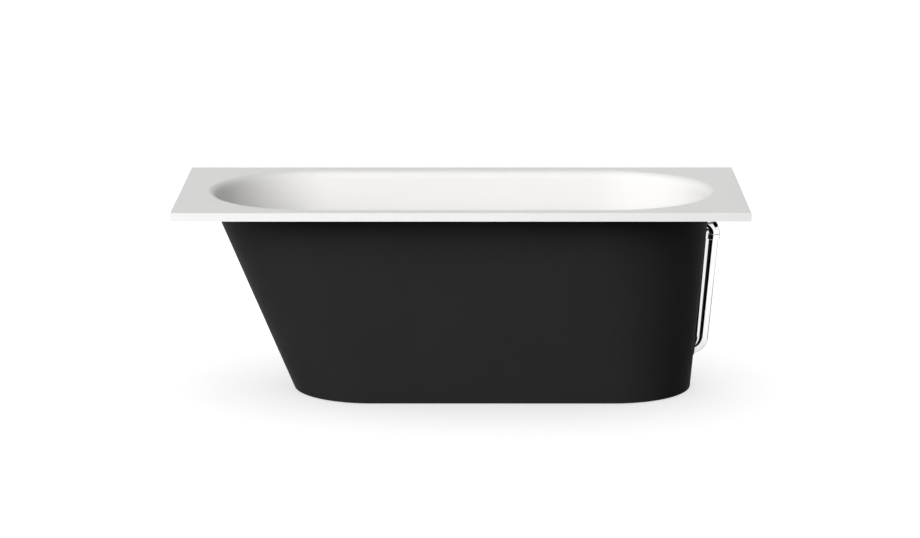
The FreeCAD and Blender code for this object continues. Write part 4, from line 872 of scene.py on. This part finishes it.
@dataclass
class ScrewFeet(Assembly):
    """Four feet: rubber pad, threaded stud with wrench flats, welded nut below the rail, lock nut above."""

    half_span: float = 175.398
    stud: float = 5.0
    pitch: float = 1.5
    thread: float = 0.75
    stud_low: float = 8.0
    stud_high: float = 155.0
    stud_tip: float = 1.1
    stud_columns: int = 24
    turn_rows: int = 6
    stud_crease: float = 50
    flats: Pair = (24.0, 32.0)
    flats_corner: float = 7.5
    flats_share: float = 0.9
    flats_slope: float = 1.7
    nut_corner: float = 9.8
    nut_bore: float = 5.05
    nut_chamfer: float = 0.6
    nut_face: float = 0.86
    nut_slope: float = math.tan(math.pi / 6)
    nut_columns: int = 72
    nut_rows: int = 12
    nut_crease: float = 25
    weld_nut: Pair = (101.0, 109.0)
    lock_nut: Pair = (139.0, 145.0)
    pad: float = 25.0
    pad_base: float = 5.0
    pad_height: float = 16.0
    pad_rounding: Row = (0, 1.2, 1.5, 1.5, 0.5, 0, 0)
    pad_columns: int = 144
    neck: float = 11.0
    socket: float = 5.3
    socket_play: float = 0.1
    cone_rows: int = 14
    cone_trim: int = 2
    cone_inset: float = 1.0
    cone_clear: float = 0.2
    ribs: int = 12
    rib_rise: float = 1.1
    rib_low: float = 0.5
    rib_high: float = 1.5
    rib_fade: float = 2.0
    rib_clear: float = 2.0
    rib_wave: Point = (1.6, -0.2, 0.4)

    def spot(self, corner: Corner) -> np.ndarray:
        """Where one foot stands on the floor."""
        end, side = corner.value
        return np.array([HEAD_RAIL_X if end < 0 else TAP_RAIL_X, side * self.half_span, 0])

    def stud_grid(self) -> np.ndarray:
        """Threaded stud: the radius falls from the crest by the thread's depth times a triangle wave of
        height over pitch less the share of a turn, gives way to a six-sided outline over the wrench flats,
        and is held inside a cone at both ends, which close in a point.

        Returns:
            Grid of points.
        """
        angle = turns(self.stud_columns)
        steps = round((self.stud_high - self.stud_low) / self.pitch * self.turn_rows)
        height = np.linspace(self.stud_low, self.stud_high, steps + 1)[:, None]
        phase = (height / self.pitch - angle / TURN) % 1
        screwed = self.stud - self.thread * np.abs(2 * phase - 1)
        edge = np.minimum(height - self.flats[0], self.flats[1] - height)
        bevel = self.flats_corner * self.flats_share + self.flats_slope * edge
        radius = np.where(edge >= 0, np.minimum(hexagon(angle, self.flats_corner), bevel), screwed)
        tip = np.minimum(height - self.stud_low, self.stud_high - height)
        radius = np.pad(np.minimum(radius, self.stud - self.stud_tip + tip), ((1, 1), (0, 0)))
        return polar(radius, angle, np.pad(height, ((1, 1), (0, 0)), mode="edge"))

    def nuts(self, name: str, low: float, high: float) -> Object:
        """Six-sided nuts: each face runs level from the bore, then falls at 30 degrees beyond the flats.

        Args:
            name: New piece's name.
            low: Height of the lower face.
            high: Height of the upper face.

        Returns:
            The new object.
        """
        angle, chamfer = turns(self.nut_columns)[None, :], self.nut_chamfer
        outline = hexagon(angle, self.nut_corner)
        share = np.linspace(0, 1, self.nut_rows)[:, None]
        reach = self.nut_bore + chamfer + share * (outline - self.nut_bore - chamfer)
        drop = np.maximum(0, reach - self.nut_corner * self.nut_face) * self.nut_slope
        bore = np.full_like(outline, self.nut_bore)
        radius = np.concatenate([bore, reach, reach[::-1], bore])
        height = np.concatenate([high - chamfer + 0 * bore, high - drop, (low + drop)[::-1],
                                 low + chamfer + 0 * bore])
        grid = polar(radius, angle, height)
        return solid(name, [grid + self.spot(corner) for corner in Corner], True, self.nut_crease)

    def pad_grid(self) -> np.ndarray:
        """Rubber pad: a round profile whose cone stands out in rounded ribs between base and neck.

        Returns:
            Grid of points.
        """
        floor = self.stud_low - self.socket_play
        corners = [(0, 0), (self.pad, 0), (self.pad, self.pad_base), (self.neck, self.pad_height),
                   (self.socket, self.pad_height), (self.socket, floor), (0, floor)]
        profile = rounded(corners, self.pad_rounding)
        share = np.linspace(0, 1, self.cone_rows)[:, None]
        out = self.pad - self.cone_inset + share * (self.neck + self.cone_inset - self.pad)
        up = self.pad_base + share * (self.pad_height - self.pad_base)
        cone = np.concatenate([out, up], axis=1)[self.cone_trim:-self.cone_trim]
        split = int(np.argmax(profile[:, 1] > self.pad_base + self.cone_clear))
        profile = np.concatenate([profile[:split], cone, profile[split:]])
        reach, height = profile[:, :1], profile[:, 1:]
        above = np.clip((height - self.pad_base - self.rib_low) / self.rib_fade, 0, 1)
        below = np.clip((self.pad_height - self.rib_high - height) / self.rib_fade, 0, 1)
        rise = above * below * (reach > self.socket + self.rib_clear)
        angle = turns(self.pad_columns)
        gain, hollow, middle = self.rib_wave
        wave = np.clip(np.cos(self.ribs * angle) * gain, hollow, 1) - middle
        return polar(reach + self.rib_rise * rise * wave, angle, height)

    def pieces(self) -> list[Fitted]:
        """The nuts, and each foot's pad and stud.

        Returns:
            Pieces with their bodies and nodes.
        """
        made = [(self.nuts("welded_nut_set", *self.weld_nut), MAIN_BODY, "weld_nuts"),
                (self.nuts("lock_nut_set", *self.lock_nut), MAIN_BODY, "lock_nuts")]
        pad, stud = self.pad_grid(), self.stud_grid()
        for corner in Corner:
            label, spot = corner.label, self.spot(corner)
            made.append((solid(f"ribbed_pad_{label}", [pad + spot], False), f"pad_{label}",
                         f"foot_pad_{label}"))
            made.append((solid(f"threaded_stud_{label}", [stud + spot], False, self.stud_crease),
                         f"stud_{label}", f"foot_stud_{label}"))
        return made


@dataclass
class PopUpWaste(Assembly):
    """Waste in the bowl's floor with its plug, lever and rod."""

    kept: Names = ("waste_flange", "waste_flange_seal", "waste_body_seal", "waste_body",
                             "plug_seal", "plug_stem", "lever_pin", "lift_lever", "pull_rod")
    plug: float = 30.5
    plug_under: float = 171.2
    plug_edge: float = 1.6
    top_inset: float = 0.5
    top_rows: int = 28
    dome: float = 3.4
    dome_power: float = 3.4
    edge_start: float = 0.35
    edge_rows: int = 10
    columns: int = 96

    def plug_piece(self) -> Object:
        """Domed plug: its top falls from the middle by the dome times a power of the radius share, into a
        rounded edge.

        Returns:
            The new object.
        """
        reach = np.linspace(0, 1, self.top_rows)[:, None] * (self.plug - self.top_inset)
        top = self.plug_under + self.plug_edge + self.dome * (1 - (reach / self.plug) ** self.dome_power)
        turn = np.linspace(self.edge_start, math.pi, self.edge_rows)[:, None]
        half = self.plug_edge / 2
        edge = np.concatenate([self.plug - half + half * np.sin(turn),
                               self.plug_under + half + half * np.cos(turn)], axis=1)
        profile = np.concatenate([np.concatenate([reach, top], axis=1), edge, [[0.0, self.plug_under]]])
        return solid("domed_plug", [spun(profile, self.columns) + np.array([DRAIN_X, 0, 0])], False)

    def pieces(self) -> list[Fitted]:
        """The plug's cap."""
        return [(self.plug_piece(), "plug", "plug_cap")]


@dataclass
class OverflowFitting(Assembly):
    """Plate, knob, elbow and collar of the overflow, square to the leaning end wall."""

    kept: Names = ("overflow_outer_seal", "overflow_inner_seal", "overflow_hub", "overflow_elbow",
                             "pipe_top_seal", "knob_spindle")
    origin: Point = (737.9925, 0, 503.6179)
    arc_steps: int = 8
    columns: int = 96
    plate: float = 33.0
    plate_front: float = -8.976
    plate_back: float = -5.976
    plate_rounding: Row = (0.6, 1.8, 0.6, 0, 0.4, 0.4, 0, 0)
    barrel: float = 18.5
    barrel_bore: float = 16.0
    barrel_reach: float = 8.0
    step_bore: float = 14.5
    step: float = 4.5
    pipe_out: float = 29.471
    collar: float = 24.2
    collar_bore: float = 22.2
    collar_low: float = -43.0
    collar_high: float = -25.5
    collar_shelf: float = -41.0
    collar_rounding: Row = (0.3, 1.6, 1.6, 0.3, 0, 0)
    knob: float = 32.0
    knob_wall: float = 2.0
    knob_front: float = -34.476
    knob_back: float = -15.476
    knob_rounding: Row = (0, 3.2, 0.7, 0.7, 1, 1, 0.4, 0.3, 0, 0)
    knob_columns: int = 128
    boss: float = 9.0
    boss_depth: float = 11.0
    knob_socket: float = 9.0
    spindle: float = 4.05
    grip: Point = (25.0, 4.5, 6.0)
    grip_power: float = 0.42
    grip_sunk: float = 1.0
    grip_bite: float = 0.6

    def axes(self) -> Place:
        """Own axes of turned pieces: z out through the wall, x down it."""
        return Place(self.origin, (-LEAN_SIN, 0, -LEAN_COS), (0, 1, 0), (LEAN_COS, 0, -LEAN_SIN))

    def upright(self) -> Place:
        """Own axes of pieces on the elbow's leg: z up along the wall."""
        foot = tuple(self.axes().apply(np.array([0, 0, self.pipe_out])))
        return Place(foot, (LEAN_COS, 0, -LEAN_SIN), (0, 1, 0), (LEAN_SIN, 0, LEAN_COS))

    def plate_piece(self) -> Object:
        """Cover plate with its barrel: a rounded profile swung round the overflow's axis.

        Returns:
            The new object.
        """
        front, back, end = self.plate_front, self.plate_back, self.barrel_reach
        hub = front + self.step
        corners = [(self.step_bore, front), (self.plate, front), (self.plate, back), (self.barrel, back),
                   (self.barrel, end), (self.barrel_bore, end), (self.barrel_bore, hub),
                   (self.step_bore, hub)]
        profile = rounded(corners, self.plate_rounding, self.arc_steps)
        return solid("cover_plate", [self.axes().apply(spun(profile, self.columns))], True)

    def knob_piece(self) -> Object:
        """Cup-shaped knob with a raised grip: a rounded profile swung round the axis, and a rounded block on
        its face.

        Returns:
            The new object.
        """
        front, back, edge = self.knob_front, self.knob_back, self.knob - self.knob_wall
        inner = front + self.knob_wall
        end = inner + self.boss_depth
        floor = end - self.knob_socket
        corners = [(0, front), (self.knob, front), (self.knob, back), (edge, back), (edge, inner),
                   (self.boss, inner), (self.boss, end), (self.spindle, end), (self.spindle, floor),
                   (0, floor)]
        cup = spun(rounded(corners, self.knob_rounding, self.arc_steps), self.knob_columns)
        length, width, tall = self.grip
        ridge = pillow((length, width, tall + self.grip_sunk), self.grip_power)
        ridge = ridge + np.array([0, 0, front + self.grip_sunk])
        ridge[..., 2] = np.minimum(ridge[..., 2], front + self.grip_bite)
        return solid("turn_knob", [self.axes().apply(cup), self.axes().apply(ridge)], False)

    def collar_piece(self) -> Object:
        """Union collar on the elbow's leg: a rounded profile swung round the leg.

        Returns:
            The new object.
        """
        radius, low, high, shelf = self.collar, self.collar_low, self.collar_high, self.collar_shelf
        corners = [(PIPE_HOLE, low), (radius, low), (radius, high), (self.collar_bore, high),
                   (self.collar_bore, shelf), (PIPE_HOLE, shelf)]
        profile = rounded(corners, self.collar_rounding, self.arc_steps)
        return solid("union_collar", [self.upright().apply(spun(profile, self.columns))], True)

    def pieces(self) -> list[Fitted]:
        """The turned pieces."""
        return [(self.plate_piece(), MAIN_BODY, "overflow_plate"),
                (self.collar_piece(), MAIN_BODY, "overflow_collar"),
                (self.knob_piece(), "knob", "overflow_knob")]


@dataclass
class OverflowPipe(Assembly):
    """Chrome pipe from the overflow down to the waste, its joint nut, and the cable inside it."""

    kept: Names = ("pipe_low_seal", "cable_ferrules", "pull_cable")
    radius: float = 20.0
    wall: float = 2.0
    columns: int = 72
    start_x: float = 566.0
    level: float = 118.0
    bend: float = 37.0
    bend_x: float = 699.159
    bend_rows: int = 40
    top: Pair = (764.933, 474.093)
    nut_x: Pair = (578.0, 596.0)
    nut_outer: float = 27.7
    nut_bore: float = 24.2
    nut_rounding: Row = (0.2, 1, 1, 0.2, 0, 0)
    nut_columns: int = 180
    nut_ribs: int = 20
    rib_depth: float = 1.1
    shelf_x: float = 594.0

    def route(self) -> np.ndarray:
        """Middle line: level run, a quarter bend less the wall's lean, then straight up beside the casing.

        Returns:
            Points of the line.
        """
        centre = np.array([self.bend_x, self.level + self.bend])
        turn = np.linspace(-math.pi / 2, -END_LEAN, self.bend_rows)[:, None]
        arc = centre + self.bend * np.concatenate([np.cos(turn), np.sin(turn)], axis=1)
        line = np.concatenate([[[self.start_x, self.level]], arc, [self.top]])
        return np.stack([line[:, 0], 0 * line[:, 0], line[:, 1]], axis=1)

    def pipe_piece(self) -> Object:
        """Bent tube: a circle carried along the line outside, and a smaller one back along it inside.

        Returns:
            The new object.
        """
        angle, side = turns(self.columns), np.array([0.0, 1.0, 0.0])
        circle = np.stack([np.cos(angle), np.sin(angle)], axis=1)
        sizes = (self.radius, self.radius - self.wall)
        outer, inner = (swept(self.route(), size * circle, side) for size in sizes)
        return solid("bent_pipe", [np.concatenate([outer, inner[::-1]])], True)

    def nut_piece(self) -> Object:
        """Ribbed joint nut round the pipe's level end.

        Returns:
            The new object.
        """
        first, last = self.nut_x
        corners = [(self.nut_bore, first), (self.nut_outer, first), (self.nut_outer, last), (PIPE_HOLE, last),
                   (PIPE_HOLE, self.shelf_x), (self.nut_bore, self.shelf_x)]
        grid = ribbed(rounded(corners, self.nut_rounding), self.nut_columns, self.nut_ribs, self.rib_depth)
        place = Place((0, 0, self.level), (0, 0, -1), (0, 1, 0), (1, 0, 0))
        return solid("inlet_joint_nut", [place.apply(grid)], True)

    def pieces(self) -> list[Fitted]:
        """The pipe and its nut."""
        return [(self.pipe_piece(), MAIN_BODY, "overflow_pipe"), (self.nut_piece(), MAIN_BODY, "inlet_nut")]


@dataclass(frozen=True)
class NutSize:
    """A trap nut: place along the tub, thread bore, outer radius, and heights of its faces and shelf."""

    x: float
    bore: float
    outer: float
    low: float
    shelf: float
    high: float


@dataclass
class Trap(Assembly):
    """Water trap below the waste, with its two ribbed nuts."""

    kept: Names = ("trap_inlet_seal", "trap_bend", "trap_outlet", "trap_mid_seal")
    inlet: NutSize = NutSize(x=DRAIN_X, bore=23.7, outer=29.0, low=55.0, shelf=58.0, high=75.0)
    middle: NutSize = NutSize(x=470.0, bore=23.4, outer=26.9, low=54.0, shelf=56.0, high=70.0)
    rounding: Row = (0.2, 1.2, 1.2, 0.2, 0, 0)
    columns: int = 192
    ribs: int = 24
    rib_depth: float = 1.2

    def nut(self, name: str, size: NutSize) -> Object:
        """Ribbed nut: a rounded profile swung round the tube with hollows between its ribs.

        Args:
            name: New piece's name.
            size: Its sizes and place.

        Returns:
            The new object.
        """
        corners = [(PIPE_HOLE, size.low), (size.outer, size.low), (size.outer, size.high),
                   (size.bore, size.high), (size.bore, size.shelf), (PIPE_HOLE, size.shelf)]
        grid = ribbed(rounded(corners, self.rounding), self.columns, self.ribs, self.rib_depth)
        return solid(name, [grid + np.array([size.x, 0, 0])], True)

    def pieces(self) -> list[Fitted]:
        """The two nuts."""
        return [(self.nut("trap_inlet_ribbed_nut", self.inlet), MAIN_BODY, "trap_inlet_nut"),
                (self.nut("trap_middle_ribbed_nut", self.middle), MAIN_BODY, "trap_mid_nut")]


# Studio


def sheet(name: str, corners: np.ndarray, material: Material) -> Object:
    """Flat piece of the stage, which is no part of the tub.

    Args:
        name: Its name.
        corners: Its four corners in millimetres, anticlockwise on its front.
        material: Its material.

    Returns:
        The new object.
    """
    mesh = bpy.data.meshes.new(name)
    mesh.from_pydata(corners * MM, [], [(0, 1, 2, 3)])
    mesh.materials.append(material)
    piece = show(name, mesh)
    return piece


@dataclass(frozen=True)
class Card:
    """Studio card that one kind of ray sees, from the side where across and up turn anticlockwise."""

    name: str
    corner: Point
    across: Point
    up: Point
    tone: float
    ray: Ray = Ray.MIRROR

    def corners(self) -> np.ndarray:
        """Its four corners in order: the first, plus across, plus both, plus up."""
        first, across, up = np.array([self.corner, self.across, self.up])
        return np.array([first, first + across, first + across + up, first + up])

    def hang(self, corners: np.ndarray) -> None:
        """Makes the card, which shows its tone to its rays on one side and nothing on the other.

        Args:
            corners: Its four corners in millimetres.
        """
        material, tree = new_material(self.name)
        tree.face(tree.add("Emission", Strength=self.tone).outputs[0])
        card = sheet(self.name, corners, material)
        card.visible_glossy = self.ray is Ray.MIRROR
        card.visible_diffuse = self.ray is Ray.SOFT
        card.visible_camera = card.visible_transmission = card.visible_shadow = False


@dataclass(frozen=True)
class Lamp:
    """Broad soft lamp far away, which no mirror reflection shows: where from, and how wide in degrees."""

    name: str
    strength: float
    source: Point
    spread: float
    aim: Aim

    def hang(self, floor: Object) -> None:
        """Makes the lamp and limits it to the floor, or keeps it off the floor.

        Args:
            floor: The floor.
        """
        data = bpy.data.lights.new(self.name, "SUN")
        data.energy = self.strength
        data.angle = math.radians(self.spread)
        lamp = show(self.name, data)
        lamp.rotation_mode = "QUATERNION"
        lamp.rotation_quaternion = Vector(self.source).to_track_quat("Z", "Y")
        lamp.visible_glossy = False
        targets = bpy.data.collections.new(f"{self.name}_targets")
        targets.objects.link(floor)
        targets.collection_objects[0].light_linking.link_state = self.aim.value
        lamp.light_linking.receiver_collection = targets


@dataclass
class Studio:
    """White floor, soft light from the front left, and the camera of the photograph."""

    camera_at: Point = (46.8, -9659.6, 2438.0)
    look_at: Point = (-3.8, 0.0, 362.7)
    roll: float = math.radians(-0.06)
    lens: float = 126.7
    sensor: float = 36
    sight: float = 200
    ambient: float = 0.09
    lamps: tuple[Lamp, ...] = (
        Lamp("key_light", 3.08, (-0.4, -0.77, 0.497), 54.0, Aim.PART),
        Lamp("fill_light", 1.6, (0.0, 0.992, 0.122), 50.0, Aim.PART),
        Lamp("floor_light", 2.6, (-0.4, 0.0, 0.917), 150.0, Aim.FLOOR))
    floor_side: float = 60000.0
    floor_tone: float = 0.7
    floor_glow: float = 0.55
    floor_bounce: float = 0.74
    end_bounce: float = 0.0
    dim_along: Pair = (350.0, 800.0)
    dim_across: Pair = (250.0, -150.0)
    around: tuple[Card, ...] = (
        Card("front_card", (870.0, -620.0, 0.0), (-445.0, 0.0, 0.0), (0.0, 0.0, 1500.0), 0.0),
        Card("rear_card", (690.0, 200.0, 230.0), (510.0, 0.0, 0.0), (0.0, 0.0, 330.0), 0.75),
        Card("low_card", (690.0, 200.0, 0.0), (510.0, 0.0, 0.0), (0.0, 0.0, 230.0), 0.4),
        Card("roof_card", (700.0, -80.0, 575.0), (0.0, 140.0, 0.0), (100.0, 0.0, 0.0), 1.0),
        Card("side_card", (870.0, -100.0, 520.0), (0.0, 0.0, 120.0), (0.0, 400.0, 0.0), 0.0),
        Card("under_card", (690.0, 35.0, 60.0), (125.0, 0.0, 0.0), (0.0, 215.0, 0.0), 0.35),
        Card("rim_flag", (760.0, -372.0, 490.0), (-1520.0, 0.0, 0.0), (0.0, 0.0, 95.0), 0.0, Ray.SOFT))
    beside_pipe: Card = Card("strip_card", (-20.25, -29.5, -385.0), (0.0, 16.0, 0.0), (0.0, 8.5, 363.0), 1.0)

    def background(self) -> None:
        """World that looks white and lights the object at a plain level."""
        world = bpy.data.worlds.new("white_room")
        world.use_nodes = True
        bpy.context.scene.world = world
        tree = Tree(world.node_tree.nodes, world.node_tree.links)
        sky = tree.nodes["Background"].inputs
        tree.put(sky["Color"], (1, 1, 1, 1))
        tree.put(sky["Strength"], tree.ranged(tree.seen(), To_Min=self.ambient, To_Max=1.0))

    def floor(self) -> Object:
        """Wide pale floor that glows a little to the camera and throws little light back, none before the
        tap end, so that it reads white, keeps the shadow and leaves the casing dark. From below it is clear,
        which leaves the underside in view.

        Returns:
            The floor.
        """
        material, tree = new_material("pale_floor")
        seen = tree.seen()
        spot = tree.add("SeparateXYZ", Vector=tree.add("TexCoord").outputs["Object"]).outputs
        dims = [tree.ranged(spot[axis], From_Min=start * MM, From_Max=end * MM)
                for axis, (start, end) in (("X", self.dim_along), ("Y", self.dim_across))]
        bounce = tree.ranged(tree.sum("MULTIPLY", *dims), To_Min=self.floor_bounce, To_Max=self.end_bounce)
        tone = tree.ranged(seen, To_Min=bounce, To_Max=self.floor_tone)
        glow = tree.add("Emission", Strength=tree.sum("MULTIPLY", seen, self.floor_glow))
        both = tree.add("AddShader")
        tree.put(both.inputs[0], tree.add("BsdfDiffuse", Color=tone).outputs[0])
        tree.put(both.inputs[1], glow.outputs[0])
        tree.face(both.outputs[0])
        side = self.floor_side
        corners = np.array([(-side, -side, 0), (side, -side, 0), (side, side, 0), (-side, side, 0)])
        return sheet("floor", corners, material)

    def light(self, floor: Object) -> None:
        """Hangs the lamps, the cards that draw the chrome's lines, and a flag that keeps soft light off the
        casing below the rim.

        Args:
            floor: The floor.
        """
        for lamp in self.lamps:
            lamp.hang(floor)
        for card in self.around:
            card.hang(card.corners())
        self.beside_pipe.hang(OverflowFitting().upright().apply(self.beside_pipe.corners()))

    def camera(self) -> None:
        """Camera at the photograph's place and angle."""
        data = bpy.data.cameras.new("camera")
        data.lens = self.lens
        data.sensor_width = self.sensor
        data.clip_end = self.sight
        camera = show("camera", data)
        camera.location = Vector(self.camera_at) * MM
        camera.rotation_mode = "QUATERNION"
        facing = (Vector(self.look_at) - Vector(self.camera_at)).to_track_quat("-Z", "Y")
        camera.rotation_quaternion = facing @ Quaternion((0, 0, 1), self.roll)
        bpy.context.scene.camera = camera

    def build(self) -> None:
        """Sets up the whole studio."""
        bpy.context.scene.view_settings.view_transform = "Standard"
        self.background()
        self.light(self.floor())
        self.camera()


ASSEMBLIES = (Shell, Casing, Underframe, ScrewFeet, PopUpWaste, OverflowFitting, OverflowPipe, Trap)


def main() -> None:
    """Builds every sub-assembly in order, then the studio."""
    logging.basicConfig(level=logging.INFO, format="%(message)s")
    workshop = Workshop()
    workshop.open()
    for assembly in ASSEMBLIES:
        assembly().build(workshop)
    Studio().build()


if __name__ == "__main__":
    main()
